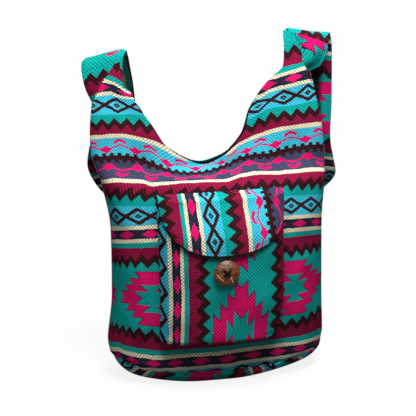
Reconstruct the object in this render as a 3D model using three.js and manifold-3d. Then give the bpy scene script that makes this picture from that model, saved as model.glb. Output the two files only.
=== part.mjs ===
// A slouchy cloth crossbody bag: two panels on an oval base, a scooped mouth between two horns,
// one wide strap folded over behind the back, and a buttoned patch pocket on the front.
// Millimetres, +Z up, the front faces -Y, the origin is on the floor under the middle of the base.

import * as THREE from 'three';
import { mergeVertices } from 'three/addons/utils/BufferGeometryUtils.js';
import Module from 'manifold-3d';

const wasm = await Module();
wasm.setup();

// Cloth and clearances
const CLOTH = 1.8;
const LINING = 0.8;
const FIT_GAP = 0.3;
const ROUNDNESS = 2.4;

// Base: flat in the middle, turned up to a seam that lifts at both ends
const BASE_WIDTH = 302;
const BASE_DEPTH = 124;
const BASE_SEAM = 27;
const BASE_END_LIFT = 20;
const BASE_FLAT_SHARE = 0.76;

// Body, from the belly up to the roof that closes in to the mouth
const BELLY_ABOVE_SEAM = 90;
const BELLY_WIDTH = 294;
const BELLY_DEPTH = 138;
const WAIST_ABOVE_BELLY = 90;
const WAIST_WIDTH = 293;
const WAIST_DEPTH = 128;
const ROOF_ABOVE_WAIST = 62;
const ROOF_WIDTH = 304;
const ROOF_DEPTH = 104;
const ROOF_SHIFT = -4;
const MOUTH_ABOVE_ROOF = 23;
const MOUTH_DEPTH = 28;

// Horns, the two ends that carry the strap
const SHOULDER_ABOVE_MOUTH = 20;
const SHOULDER_WIDTH = 316;
const SHOULDER_SHIFT = -11;
const LEFT_HORN_ABOVE_MOUTH = 88;
const RIGHT_HORN_ABOVE_MOUTH = 122;
const LEFT_HORN_WIDTH = 50;
const RIGHT_HORN_WIDTH = 43;
const HORN_SPREAD = 284;
const HORN_DEPTH = 18;
const HORN_SHIFT = -18;

// Strap: one doubled band, gathered into the horns and hung in a U behind the back
const STRAP_WIDTH = 62;
const STRAP_THICKNESS = 3;
const STRAP_SEAT_DEPTH = 30;
const STRAP_SEAT_MARGIN = 14;
const STRAP_SEAT_SLACK = 1.2;
const LEFT_FOLD_RISE = 59;
const RIGHT_FOLD_RISE = 49;
const LEFT_FOLD_INSET = 15;
const RIGHT_FOLD_INSET = 2;
const LEFT_FOLD_SLOPE = 0.2;
const RIGHT_FOLD_SLOPE = 0.08;
const FOLD_FRONT = 3;
const FOLD_BACK = 20;
const FOLD_ROUND = 14;
const LEFT_LEG_INSET = 30;
const RIGHT_LEG_INSET = 13;
const LEFT_TUCK_INSET = 31;
const RIGHT_TUCK_INSET = 4;
const TUCK_INWARD = 18;
const TUCK_CLEARANCE = 22;
const LEG_BELOW_HORN = 15;
const LEG_CLEARANCE = 11;
const STRAP_BELOW_ROOF = 75;
const STRAP_TILT = 0.95;

// Pocket on the front
const POCKET_WIDTH = 165;
const POCKET_CENTRE = -8;
const POCKET_HEIGHT = 193;
const POCKET_CORNER = 30;
const POCKET_PROUD = 24;
const POCKET_MOUTH_PROUD = 9;
const POCKET_SQUARENESS = 5;

// Flap over the pocket
const FLAP_BELOW_ROOF = 5;
const FLAP_STAND = 10;
const FLAP_FOLD = 7;
const FLAP_DROP = 77;
const FLAP_SIDE_DROP = 17;
const FLAP_SKEW = -0.12;
const FLAP_ROUNDNESS = 2.3;
const FLAP_CLEARANCE = 2.4;

// Button, its thread and the loop that hooks round it
const BUTTON_DIAMETER = 34;
const BUTTON_THICKNESS = 4.6;
const BUTTON_EDGE = 1.3;
const BUTTON_HOLE = 2.6;
const BUTTON_HOLE_SPACING = 8;
const BUTTON_STANDOFF = 4.4;
const BUTTON_BELOW_FLAP = 2;
const BUTTON_OFFSET = -3;
const THREAD = 1.6;
const SHANK_DIAMETER = 6;
const LOOP_CORD = 2.2;

// Mesh fineness
const COLUMNS = 24;
const WALL_ROWS = 7;
const ROOF_ROWS = 6;
const BASE_RINGS = 5;
const POCKET_COLUMNS = 16;
const CORNER_ROWS = 4;
const POCKET_ROWS = 12;
const FLAP_ROWS = 8;
const STRAP_STEPS = 4;
const ROUND = 36;
const FINE_ROUND = 10;

const FRONT = -1;
const BACK = 1;

// Heights that follow from the sizes above
const BELLY_HEIGHT = BASE_SEAM + BELLY_ABOVE_SEAM;
const WAIST_HEIGHT = BELLY_HEIGHT + WAIST_ABOVE_BELLY;
const ROOF_HEIGHT = WAIST_HEIGHT + ROOF_ABOVE_WAIST;
const MOUTH_HEIGHT = ROOF_HEIGHT + MOUTH_ABOVE_ROOF;
const SHOULDER_HEIGHT = MOUTH_HEIGHT + SHOULDER_ABOVE_MOUTH;
const LEFT_HORN_HEIGHT = MOUTH_HEIGHT + LEFT_HORN_ABOVE_MOUTH;
const RIGHT_HORN_HEIGHT = MOUTH_HEIGHT + RIGHT_HORN_ABOVE_MOUTH;
const FLAP_TOP = ROOF_HEIGHT - FLAP_BELOW_ROOF;
const POCKET_TOP = FLAP_TOP - FLAP_STAND;
const POCKET_BOTTOM = POCKET_TOP - POCKET_HEIGHT;

const TEAL_WEAVE = { color: 0x0d8f83, roughness: 0.92, metalness: 0 };
const PINK_WEAVE = { color: 0xb3124f, roughness: 0.92, metalness: 0 };
const DARK_LINING = { color: 0x17211f, roughness: 0.95, metalness: 0 };
const COCONUT = { color: 0x6b3a22, roughness: 0.32, metalness: 0 };
const BLACK_THREAD = { color: 0x101012, roughness: 0.8, metalness: 0 };

/** A smooth function through [x, y] points that never overshoots them. */
function profile(points) {
  const slopes = points.slice(1).map(([x, y], i) => (y - points[i][1]) / (x - points[i][0]));
  const tangents = points.map((point, i) => {
    const before = slopes[i - 1];
    const after = slopes[i];
    if (before === undefined) return after;
    if (after === undefined) return before;
    return before * after <= 0 ? 0 : (2 * before * after) / (before + after);
  });
  return (x) => {
    let i = 0;
    while (i < points.length - 2 && x > points[i + 1][0]) i += 1;
    const [x0, y0] = points[i];
    const [x1, y1] = points[i + 1];
    const width = x1 - x0;
    const t = THREE.MathUtils.clamp((x - x0) / width, 0, 1);
    const rise = t * t * (3 - 2 * t);
    const leave = t * (1 - t) ** 2 * tangents[i];
    const arrive = t * t * (t - 1) * tangents[i + 1];
    return y0 + (y1 - y0) * rise + width * (leave + arrive);
  };
}

const halfWidth = profile([
  [0, BASE_WIDTH / 2],
  [BELLY_HEIGHT, BELLY_WIDTH / 2],
  [WAIST_HEIGHT, WAIST_WIDTH / 2],
  [ROOF_HEIGHT, ROOF_WIDTH / 2],
  [SHOULDER_HEIGHT, SHOULDER_WIDTH / 2],
  [RIGHT_HORN_HEIGHT, HORN_SPREAD / 2],
]);
const halfDepth = profile([
  [0, BASE_DEPTH / 2],
  [BELLY_HEIGHT, BELLY_DEPTH / 2],
  [WAIST_HEIGHT, WAIST_DEPTH / 2],
  [ROOF_HEIGHT, ROOF_DEPTH / 2],
  [MOUTH_HEIGHT, MOUTH_DEPTH / 2],
  [RIGHT_HORN_HEIGHT, HORN_DEPTH / 2],
]);
const shift = profile([
  [0, 0],
  [WAIST_HEIGHT, 0],
  [ROOF_HEIGHT, ROOF_SHIFT],
  [SHOULDER_HEIGHT, SHOULDER_SHIFT],
  [RIGHT_HORN_HEIGHT, HORN_SHIFT],
]);

/** The share of the half width at a distance in from the right edge, at a height. */
function shareFromEdge(distance, height) {
  return 1 - distance / halfWidth(height);
}

// Neckline: across as a share of the half width, rise as a share of that side's horn
const LEFT_HORN_INNER = -shareFromEdge(LEFT_HORN_WIDTH, LEFT_HORN_HEIGHT);
const RIGHT_HORN_INNER = shareFromEdge(RIGHT_HORN_WIDTH, RIGHT_HORN_HEIGHT);
const NECK_LOWEST = -0.1;
const NECKLINE = [
  [-1, 1],
  [LEFT_HORN_INNER, 1],
  [-0.5, 0.62],
  [-0.36, 0.24],
  [NECK_LOWEST, 0],
  [0.1, 0.09],
  [0.28, 0.33],
  [0.37, 0.6],
  [0.57, 0.89],
  [RIGHT_HORN_INNER, 1],
  [1, 1],
];
const neckRise = profile(NECKLINE);

/** Height of the neckline at a share of the half width, front and back alike. */
function rimHeight(across) {
  const horn = across < NECK_LOWEST ? LEFT_HORN_ABOVE_MOUTH : RIGHT_HORN_ABOVE_MOUTH;
  return MOUTH_HEIGHT + neckRise(across) * horn;
}

/** Height of the seam between the panels and the base. */
function seamHeight(across) {
  return BASE_SEAM + BASE_END_LIFT * across ** 4;
}

/** How deep the oval section is at a share of its half width. */
function fullness(across) {
  return (1 - Math.min(Math.abs(across), 1) ** ROUNDNESS) ** (1 / ROUNDNESS);
}

/** The share of the half width at a turn of -1 to 1 round the front or the back. */
function acrossAt(turn) {
  const sine = Math.sin((turn * Math.PI) / 2);
  return Math.sign(sine) * Math.abs(sine) ** (2 / ROUNDNESS);
}

/** A point of the body's wall, inset from its outside. */
function wallPoint(side, across, height, inset) {
  const x = shift(height) + (halfWidth(height) - inset) * across;
  const y = side * (FIT_GAP / 2 + (halfDepth(height) - inset) * fullness(across));
  return new THREE.Vector3(x, y, height);
}

/** Where the outside of the front or back wall is, at a place seen from the front. */
function wallY(side, x, height) {
  const across = (x - shift(height)) / halfWidth(height);
  return side * (FIT_GAP / 2 + halfDepth(height) * fullness(across));
}

/** Turn points and triangles into a geometry whose faces point outwards. */
function solid(points, triangles) {
  const volume = triangles.reduce((sum, [a, b, c]) => {
    const normal = new THREE.Vector3().crossVectors(points[b], points[c]);
    return sum + points[a].dot(normal);
  }, 0);
  const outward = volume > 0 ? triangles : triangles.map(([a, b, c]) => [a, c, b]);
  const geometry = new THREE.BufferGeometry().setFromPoints(points);
  geometry.setIndex(outward.flat());
  geometry.computeVertexNormals();
  return geometry;
}

/** A closed sheet between two grids of points, outer(i, j) and inner(i, j). */
function sheet(columns, rows, outer, inner) {
  const points = [];
  for (const layer of [outer, inner]) {
    for (let j = 0; j <= rows; j += 1) {
      for (let i = 0; i <= columns; i += 1) points.push(layer(i, j));
    }
  }
  const size = (columns + 1) * (rows + 1);
  const at = (layer, i, j) => layer * size + j * (columns + 1) + i;
  const triangles = [];
  const quad = (a, b, c, d) => triangles.push([a, b, c], [a, c, d]);
  for (let j = 0; j < rows; j += 1) {
    for (let i = 0; i < columns; i += 1) {
      quad(at(0, i, j), at(0, i + 1, j), at(0, i + 1, j + 1), at(0, i, j + 1));
      quad(at(1, i, j), at(1, i, j + 1), at(1, i + 1, j + 1), at(1, i + 1, j));
    }
  }
  for (let i = 0; i < columns; i += 1) {
    quad(at(0, i, 0), at(1, i, 0), at(1, i + 1, 0), at(0, i + 1, 0));
    quad(at(0, i, rows), at(0, i + 1, rows), at(1, i + 1, rows), at(1, i, rows));
  }
  for (let j = 0; j < rows; j += 1) {
    quad(at(0, 0, j), at(0, 0, j + 1), at(1, 0, j + 1), at(1, 0, j));
    quad(at(0, columns, j), at(1, columns, j), at(1, columns, j + 1), at(0, columns, j + 1));
  }
  return solid(points, triangles);
}

/** One layer of the front or back wall, from the base seam to the neckline. */
function wallSheet(side, inset, thickness) {
  const grid = (depth) => (i, j) => {
    const across = acrossAt((2 * i) / COLUMNS - 1);
    const low = seamHeight(across) + FIT_GAP;
    const height =
      j <= WALL_ROWS
        ? THREE.MathUtils.lerp(low, ROOF_HEIGHT, j / WALL_ROWS)
        : THREE.MathUtils.lerp(ROOF_HEIGHT, rimHeight(across), (j - WALL_ROWS) / ROOF_ROWS);
    return wallPoint(side, across, height, depth);
  };
  return sheet(COLUMNS, WALL_ROWS + ROOF_ROWS, grid(inset), grid(inset + thickness));
}

/** One layer of the base: a shallow oval bowl that meets the walls at the seam. */
function baseBowl(inset, thickness) {
  const turns = 2 * COLUMNS;
  const rim = (k) => {
    const side = k < COLUMNS ? FRONT : BACK;
    const turn = side === FRONT ? (2 * k) / COLUMNS - 1 : 3 - (2 * k) / COLUMNS;
    return { side, across: acrossAt(turn) };
  };
  const bowlPoint = (k, ring, depth) => {
    const { side, across } = rim(k % turns);
    const swing = ring < 1 ? 0 : ((ring - 1) / (BASE_RINGS - 1)) * (Math.PI / 2);
    const reach = ring < 1 ? 0 : BASE_FLAT_SHARE + (1 - BASE_FLAT_SHARE) * Math.sin(swing);
    const seam = seamHeight(across);
    const edge = wallPoint(side, across, seam, depth);
    edge.y -= side * (FIT_GAP / 2) * Number(Math.abs(across) === 1);
    const height = depth + (seam - depth) * (1 - Math.cos(swing));
    return new THREE.Vector3(edge.x * reach, edge.y * reach, height);
  };
  const points = [];
  const layerSize = 1 + turns * BASE_RINGS;
  for (const depth of [inset, inset + thickness]) {
    points.push(bowlPoint(0, 0, depth));
    for (let ring = 1; ring <= BASE_RINGS; ring += 1) {
      for (let k = 0; k < turns; k += 1) points.push(bowlPoint(k, ring, depth));
    }
  }
  const at = (layer, k, ring) => layer * layerSize + 1 + (ring - 1) * turns + (k % turns);
  const triangles = [];
  for (let k = 0; k < turns; k += 1) {
    triangles.push([0, at(0, k + 1, 1), at(0, k, 1)]);
    triangles.push([layerSize, at(1, k, 1), at(1, k + 1, 1)]);
    for (let ring = 1; ring < BASE_RINGS; ring += 1) {
      const [a, b] = [at(0, k, ring), at(0, k + 1, ring)];
      const [c, d] = [at(0, k + 1, ring + 1), at(0, k, ring + 1)];
      triangles.push([a, b, c], [a, c, d]);
      const [e, f] = [at(1, k, ring), at(1, k + 1, ring)];
      const [g, h] = [at(1, k + 1, ring + 1), at(1, k, ring + 1)];
      triangles.push([e, g, f], [e, h, g]);
    }
    const [outer, outerNext] = [at(0, k, BASE_RINGS), at(0, k + 1, BASE_RINGS)];
    const [inner, innerNext] = [at(1, k, BASE_RINGS), at(1, k + 1, BASE_RINGS)];
    triangles.push([outer, outerNext, innerNext], [outer, innerNext, inner]);
  }
  return solid(points, triangles);
}

/** The middle of the pocket at a height, following the bag's own lean. */
function pocketX(height, share) {
  return POCKET_CENTRE + shift(height) + (POCKET_WIDTH / 2) * share;
}

/** How far the pocket stands off the front panel: square sides, a round bottom, a flatter mouth. */
function pocketLift(share, height) {
  const side = Math.sqrt(1 - Math.abs(share) ** POCKET_SQUARENESS);
  const low = THREE.MathUtils.clamp((height - POCKET_BOTTOM) / POCKET_CORNER, 0, 1);
  const bottom = Math.sqrt(1 - (1 - low) ** 2);
  const up = THREE.MathUtils.smoothstep(height, WAIST_HEIGHT, POCKET_TOP);
  return side * bottom * THREE.MathUtils.lerp(POCKET_PROUD, POCKET_MOUTH_PROUD, up);
}

/** Shares across the pocket, closer together at its sides. */
function pocketShare(i) {
  return Math.sin((i / POCKET_COLUMNS - 0.5) * Math.PI);
}

/** The patch pocket, sewn to the front panel round three sides and open at the top. */
function pocketPouch() {
  const grid = (offset) => (i, j) => {
    const share = pocketShare(i);
    const swing = (Math.min(j / CORNER_ROWS, 1) * Math.PI) / 2;
    const low = POCKET_BOTTOM + POCKET_CORNER * (1 - Math.cos(swing));
    const up = Math.max((j - CORNER_ROWS) / (POCKET_ROWS - CORNER_ROWS), 0);
    const height = THREE.MathUtils.lerp(low, POCKET_TOP, up);
    const round = POCKET_CORNER * (1 - Math.sin(swing));
    const x = pocketX(height, share * (1 - (2 * round) / POCKET_WIDTH));
    const y = wallY(FRONT, x, height) - FIT_GAP - pocketLift(share, height) - offset;
    return new THREE.Vector3(x, y, height);
  };
  return sheet(POCKET_COLUMNS, POCKET_ROWS, grid(CLOTH), grid(0));
}

/** Where the flap's underside is: over the pocket, and down on the panel at its top seam. */
function flapY(share, height) {
  const over = pocketLift(share, Math.min(height, POCKET_TOP)) + CLOTH + FLAP_CLEARANCE;
  const closing = 1 - THREE.MathUtils.smoothstep(height, FLAP_TOP - FLAP_FOLD, FLAP_TOP);
  return wallY(FRONT, pocketX(height, share), height) - FIT_GAP - over * closing;
}

/** How far the flap hangs below its seam, a D that is lowest a little left of the middle. */
function flapDrop(share) {
  const from = share < FLAP_SKEW ? FLAP_SKEW + 1 : 1 - FLAP_SKEW;
  const aside = (share - FLAP_SKEW) / from;
  const hang = Math.sqrt(1 - Math.abs(aside) ** FLAP_ROUNDNESS);
  return THREE.MathUtils.lerp(FLAP_SIDE_DROP, FLAP_DROP, hang);
}

/** One layer of the flap. */
function flapSheet(offset, thickness) {
  const grid = (depth) => (i, j) => {
    const share = pocketShare(i);
    const height = FLAP_TOP - flapDrop(share) * (j / FLAP_ROWS);
    return new THREE.Vector3(pocketX(height, share), flapY(share, height) - depth, height);
  };
  return sheet(POCKET_COLUMNS, FLAP_ROWS, grid(offset + thickness), grid(offset));
}

/** A closed manifold from a three.js geometry. */
function manifoldOf(geometry) {
  const bare = geometry.clone();
  bare.deleteAttribute('normal');
  bare.deleteAttribute('uv');
  const merged = mergeVertices(bare, 1e-4);
  const vertProperties = new Float32Array(merged.attributes.position.array);
  const triVerts = new Uint32Array(merged.index.array);
  return new wasm.Manifold(new wasm.Mesh({ numProp: 3, vertProperties, triVerts }));
}

/** A three.js geometry from a manifold. */
function geometryOf(manifold) {
  const mesh = manifold.getMesh();
  const geometry = new THREE.BufferGeometry();
  geometry.setAttribute('position', new THREE.BufferAttribute(mesh.vertProperties, 3));
  geometry.setIndex(new THREE.BufferAttribute(mesh.triVerts, 1));
  geometry.computeVertexNormals();
  return geometry;
}

/** A round pin along the button's axis, from one depth behind its front face to another. */
function pin(diameter, x, y, from, to) {
  const geometry = new THREE.CylinderGeometry(diameter / 2, diameter / 2, to - from, FINE_ROUND);
  geometry.rotateX(Math.PI / 2);
  geometry.translate(x, y, (from + to) / 2);
  return geometry;
}

const HOLES = [
  [-1, -1],
  [1, -1],
  [1, 1],
  [-1, 1],
].map(([x, y]) => [(x * BUTTON_HOLE_SPACING) / 2, (y * BUTTON_HOLE_SPACING) / 2]);

/** The button about its own axis, its back on z = 0, with a rounded edge and four holes. */
function buttonBody() {
  const radius = BUTTON_DIAMETER / 2;
  const outline = [
    [0, 0],
    [radius - BUTTON_EDGE, 0],
    [radius, BUTTON_EDGE],
    [radius, BUTTON_THICKNESS - 2 * BUTTON_EDGE],
    [radius - BUTTON_EDGE / 2, BUTTON_THICKNESS - BUTTON_EDGE],
    [radius - 2 * BUTTON_EDGE, BUTTON_THICKNESS],
    [0, BUTTON_THICKNESS],
  ].map(([x, y]) => new THREE.Vector2(x, y));
  const disc = new THREE.LatheGeometry(outline, ROUND);
  disc.rotateX(Math.PI / 2);
  let body = manifoldOf(disc);
  if (body.volume() < 0) throw new Error('the button is inside out');
  for (const [x, y] of HOLES) {
    const drill = pin(BUTTON_HOLE, x, y, -BUTTON_EDGE, BUTTON_THICKNESS + BUTTON_EDGE);
    body = body.subtract(manifoldOf(drill));
  }
  return geometryOf(body);
}

const STITCH_REACH = BUTTON_HOLE_SPACING * Math.SQRT2 + THREAD;

/** The sewing thread: a shank, a pin in each hole, and a cross over the front and the back. */
function buttonThread() {
  const front = BUTTON_THICKNESS + FIT_GAP + THREAD / 2;
  const back = -FIT_GAP - THREAD / 2;
  let thread = manifoldOf(pin(SHANK_DIAMETER, 0, 0, FIT_GAP - BUTTON_STANDOFF, -FIT_GAP));
  for (const [x, y] of HOLES) {
    thread = thread.add(manifoldOf(pin(THREAD, x, y, back, front)));
  }
  for (const level of [front, back]) {
    for (const turn of [Math.PI / 4, -Math.PI / 4]) {
      const bar = new THREE.BoxGeometry(STITCH_REACH, THREAD, THREAD);
      bar.rotateZ(turn);
      bar.translate(0, 0, level);
      thread = thread.add(manifoldOf(bar));
    }
  }
  return geometryOf(thread);
}

/** The elastic loop, from the flap's edge round the shank and back, in the button's own axes. */
function buttonLoop(flapEdge) {
  const radius = STITCH_REACH / 2 + FIT_GAP + LOOP_CORD / 2;
  const path = new THREE.CurvePath();
  const [left, right] = [-radius, radius];
  path.add(new THREE.LineCurve3(new THREE.Vector3(left, flapEdge, 0), new THREE.Vector3(left, 0, 0)));
  const arc = new THREE.CatmullRomCurve3(
    [0, 1, 2, 3, 4, 5, 6].map((k) => {
      const turn = Math.PI * (1 + k / 6);
      return new THREE.Vector3(radius * Math.cos(turn), radius * Math.sin(turn), 0);
    }),
  );
  path.add(arc);
  path.add(new THREE.LineCurve3(new THREE.Vector3(right, 0, 0), new THREE.Vector3(right, flapEdge, 0)));
  const section = new THREE.Shape().absarc(0, 0, LOOP_CORD / 2, 0, 2 * Math.PI);
  const steps = { steps: 3 * FINE_ROUND, curveSegments: 4, bevelEnabled: false, extrudePath: path };
  const geometry = new THREE.ExtrudeGeometry(section, steps);
  geometry.translate(0, 0, -BUTTON_STANDOFF / 2);
  return geometry;
}

/** Where the strap is gathered inside a horn: its middle and its width there. */
function hornSeat(inner, height) {
  const outer = Math.sign(inner) * shareFromEdge(STRAP_SEAT_MARGIN, height);
  const [a, b] = [inner, outer].map((across) => wallPoint(FRONT, across, height, 0).x);
  return { middle: (a + b) / 2, width: Math.abs(b - a) };
}

/** Half the room left for the strap between the linings at the outer end of its seat. */
function seatRoom(height) {
  const inset = CLOTH + FIT_GAP + LINING;
  const outer = shareFromEdge(STRAP_SEAT_MARGIN, height);
  return (halfDepth(height) - inset) * fullness(outer) - STRAP_SEAT_SLACK;
}

/** The strap's route from one horn up over its fold and down to the back, as stations. */
function strapHalf(side) {
  const { inner, horn, rise } = side;
  const hand = Math.sign(inner);
  const low = horn - STRAP_SEAT_DEPTH;
  const [root, seat] = [hornSeat(inner, low), hornSeat(inner, horn)];
  const inFrom = (height, inset) => wallPoint(BACK, hand, height, 0).x - hand * inset;
  const fold = inFrom(horn, side.foldInset);
  const leg = inFrom(SHOULDER_HEIGHT, side.legInset);
  const tuck = inFrom(ROOF_HEIGHT, side.tuckInset);
  const hang = (x, height, clear) => wallY(BACK, x - (hand * STRAP_WIDTH) / 2, height) + clear;
  const top = horn + rise;
  const turn = top - FOLD_ROUND;
  const tuckHeight = ROOF_HEIGHT - STRAP_BELOW_ROOF / 2;
  const flat = new THREE.Vector3(hand, 0, 0);
  const sloped = new THREE.Vector3(hand, 0, -side.foldSlope);
  const turned = new THREE.Vector3(hand, Math.sin(STRAP_TILT), -Math.cos(STRAP_TILT));
  const gathered = { thick: seatRoom(horn), edge: flat };
  const full = { width: STRAP_WIDTH, edge: flat };
  const folded = { width: STRAP_WIDTH, edge: sloped };
  return [
    { at: [root.middle, 0, low], width: root.width, ...gathered },
    { at: [seat.middle, 0, horn], width: seat.width, ...gathered },
    { at: [fold, -FOLD_FRONT, turn], ...folded },
    { at: [fold, (FOLD_BACK - FOLD_FRONT) / 2, top], ...folded },
    { at: [fold, FOLD_BACK, turn], ...folded },
    { at: [(fold + leg) / 2, FOLD_BACK, horn - LEG_BELOW_HORN], ...full },
    { at: [leg, hang(leg, SHOULDER_HEIGHT, LEG_CLEARANCE), SHOULDER_HEIGHT], ...full },
    { at: [tuck, hang(tuck, ROOF_HEIGHT, LEG_CLEARANCE), ROOF_HEIGHT], ...full },
    {
      at: [tuck - hand * TUCK_INWARD, hang(tuck, WAIST_HEIGHT, TUCK_CLEARANCE), tuckHeight],
      width: STRAP_WIDTH,
      edge: turned,
    },
  ];
}

/** The whole strap, one flat band swept along its stations. */
function strapBand() {
  const right = strapHalf({
    inner: RIGHT_HORN_INNER,
    horn: RIGHT_HORN_HEIGHT,
    rise: RIGHT_FOLD_RISE,
    foldInset: RIGHT_FOLD_INSET,
    foldSlope: RIGHT_FOLD_SLOPE,
    legInset: RIGHT_LEG_INSET,
    tuckInset: RIGHT_TUCK_INSET,
  });
  const left = strapHalf({
    inner: LEFT_HORN_INNER,
    horn: LEFT_HORN_HEIGHT,
    rise: LEFT_FOLD_RISE,
    foldInset: LEFT_FOLD_INSET,
    foldSlope: LEFT_FOLD_SLOPE,
    legInset: LEFT_LEG_INSET,
    tuckInset: LEFT_TUCK_INSET,
  });
  const tilted = new THREE.Vector3(0, Math.sin(STRAP_TILT), -Math.cos(STRAP_TILT));
  const behind = WAIST_DEPTH / 2 + (STRAP_WIDTH / 2) * Math.sin(STRAP_TILT) + LEG_CLEARANCE;
  const lowest = ROOF_HEIGHT - STRAP_BELOW_ROOF;
  const bottom = { at: [0, behind, lowest], width: STRAP_WIDTH, edge: tilted };
  const stations = [...right, bottom, ...left.reverse()];
  const spline = (pick) => new THREE.CatmullRomCurve3(stations.map(pick), false, 'centripetal');
  const route = spline((s) => new THREE.Vector3(...s.at));
  const last = stations.length - 1;
  const sizes = profile(stations.map((s, k) => [k / last, s.width / 2]));
  const thicks = profile(stations.map((s, k) => [k / last, s.thick ?? STRAP_THICKNESS / 2]));
  const points = [];
  const sections = last * STRAP_STEPS;
  for (let k = 0; k <= sections; k += 1) {
    const t = k / sections;
    const along = route.getTangent(t);
    const from = Math.min(Math.floor(t * last), last - 1);
    const edge = stations[from].edge.clone().lerp(stations[from + 1].edge, t * last - from);
    edge.addScaledVector(along, -edge.dot(along)).normalize();
    const face = new THREE.Vector3().crossVectors(along, edge);
    for (const [a, b] of [[-1, -1], [0, -1], [1, -1], [1, 1], [0, 1], [-1, 1]]) {
      const point = route.getPoint(t).addScaledVector(edge, a * sizes(t));
      points.push(point.addScaledVector(face, b * thicks(t)));
    }
  }
  const sides = 6;
  const triangles = [];
  for (let k = 0; k < sections; k += 1) {
    for (let s = 0; s < sides; s += 1) {
      const [a, b] = [k * sides + s, k * sides + ((s + 1) % sides)];
      triangles.push([a, b, b + sides], [a, b + sides, a + sides]);
    }
  }
  const end = sections * sides;
  for (const [a, b, c] of [[0, 5, 4], [0, 4, 1], [1, 4, 3], [1, 3, 2]]) {
    triangles.push([a, b, c], [end + a, end + c, end + b]);
  }
  return solid(points, triangles);
}

const bag = new THREE.Group();

/** Add one named piece to a group. */
function addPiece(name, geometry, finish, group = bag) {
  const mesh = new THREE.Mesh(geometry, new THREE.MeshStandardMaterial(finish));
  mesh.name = name;
  group.add(mesh);
}

const liningInset = CLOTH + FIT_GAP;
addPiece('front_panel', wallSheet(FRONT, 0, CLOTH), TEAL_WEAVE);
addPiece('back_panel', wallSheet(BACK, 0, CLOTH), TEAL_WEAVE);
addPiece('base_panel', baseBowl(0, CLOTH), PINK_WEAVE);
addPiece('front_lining', wallSheet(FRONT, liningInset, LINING), DARK_LINING);
addPiece('back_lining', wallSheet(BACK, liningInset, LINING), DARK_LINING);
addPiece('base_lining', baseBowl(liningInset, LINING), DARK_LINING);
addPiece('shoulder_strap', strapBand(), TEAL_WEAVE);
addPiece('pocket_pouch', pocketPouch(), PINK_WEAVE);
addPiece('flap_facing', flapSheet(0, LINING), DARK_LINING);
addPiece('flap_cover', flapSheet(LINING + FIT_GAP, CLOTH), TEAL_WEAVE);

// The button's group looks out of the pocket's front, with its own +Y up the bag
const closure = new THREE.Group();
const tipHeight = FLAP_TOP - flapDrop(FLAP_SKEW);
const buttonHeight = tipHeight - BUTTON_BELOW_FLAP - BUTTON_DIAMETER / 2;
const buttonShare = (2 * BUTTON_OFFSET) / POCKET_WIDTH;
const pocketFront = flapY(buttonShare, buttonHeight) + FLAP_CLEARANCE;
closure.position.set(
  pocketX(buttonHeight, buttonShare),
  pocketFront - BUTTON_STANDOFF,
  buttonHeight,
);
closure.rotation.x = Math.PI / 2;
const loopTop = FLAP_TOP - flapDrop(buttonShare) - FIT_GAP - buttonHeight;
addPiece('coconut_button', buttonBody(), COCONUT, closure);
addPiece('button_thread', buttonThread(), BLACK_THREAD, closure);
addPiece('button_loop', buttonLoop(loopTop), BLACK_THREAD, closure);
bag.add(closure);

export default bag;
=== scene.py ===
# %% [markdown]
# # A crossbody bag of banded twill
#
# The bag is a soft bucket sewn from one striped cotton twill. A front and a back panel meet in two side
# seams, an oval base closes them below, and both panels rise to a horn on each side. A wide strap grows out
# of the horns, folds back over itself and hangs behind the bag. On the front sits a pocket with a rounded
# flap, a coconut-shell button and a small elastic loop.
#
# The solids of the bag come first, as a fixed frame. Everything made here is cloth, thread or shell laid on
# that frame, in the same place and in metres.

# %% Load the frame
import math
import bpy
import numpy as np
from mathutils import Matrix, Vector


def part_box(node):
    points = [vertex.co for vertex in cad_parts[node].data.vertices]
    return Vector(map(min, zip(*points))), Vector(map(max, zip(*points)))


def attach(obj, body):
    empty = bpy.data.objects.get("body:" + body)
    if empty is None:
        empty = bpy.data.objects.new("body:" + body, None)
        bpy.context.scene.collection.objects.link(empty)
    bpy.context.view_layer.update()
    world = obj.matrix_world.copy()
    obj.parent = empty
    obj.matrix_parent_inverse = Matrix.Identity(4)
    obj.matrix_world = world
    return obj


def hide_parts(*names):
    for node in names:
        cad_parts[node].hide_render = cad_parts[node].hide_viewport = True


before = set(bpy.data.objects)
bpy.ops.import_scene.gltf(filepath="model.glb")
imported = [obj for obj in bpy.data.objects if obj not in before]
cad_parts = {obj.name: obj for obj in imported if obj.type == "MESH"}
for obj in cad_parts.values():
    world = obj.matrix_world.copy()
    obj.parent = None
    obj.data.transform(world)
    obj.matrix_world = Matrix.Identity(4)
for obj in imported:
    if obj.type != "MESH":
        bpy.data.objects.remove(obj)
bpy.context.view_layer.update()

MM = 0.001
print("frame loaded with", len(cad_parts), "solids")

# %% [markdown]
# ## The view and the light
#
# A long lens a little more than a metre away keeps the bag's upright lines nearly parallel, as in a shop
# picture. One lamp above the bag gives soft shade under the flap and the belly, a weak one lights its left
# side, one stands behind, and one in front shows only as gloss on the polished button. An even white surround
# fills the rest, so a colour comes out about as it is written. The floor looks white to the camera and takes
# a faint shadow, but throws little light back up.

# %% Camera and lamps
VIEW_TURN = math.radians(-12)
VIEW_RISE = math.radians(14)
VIEW_DISTANCE = 1.163
VIEW_TARGET = Vector((-0.0143, 0.0, 0.2286))
LENS = 74.5
SENSOR = 36.0
# Each lamp has a name, watts, a width and a place.
LAMPS = [("key_lamp", 10.0, 0.4, (0.0, -0.35, 0.89)), ("side_lamp", 0.6, 0.4, (-0.75, -0.3, 0.3)),
         ("back_lamp", 8.0, 0.6, (0.3, 0.6, 0.95)), ("gloss_lamp", 80.0, 0.5, (0.14, -1.29, 0.49))]
LAMP_TARGET = Vector((0.0, 0.0, 0.25))
scene = bpy.context.scene
scene.view_settings.view_transform = "Standard"


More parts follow.
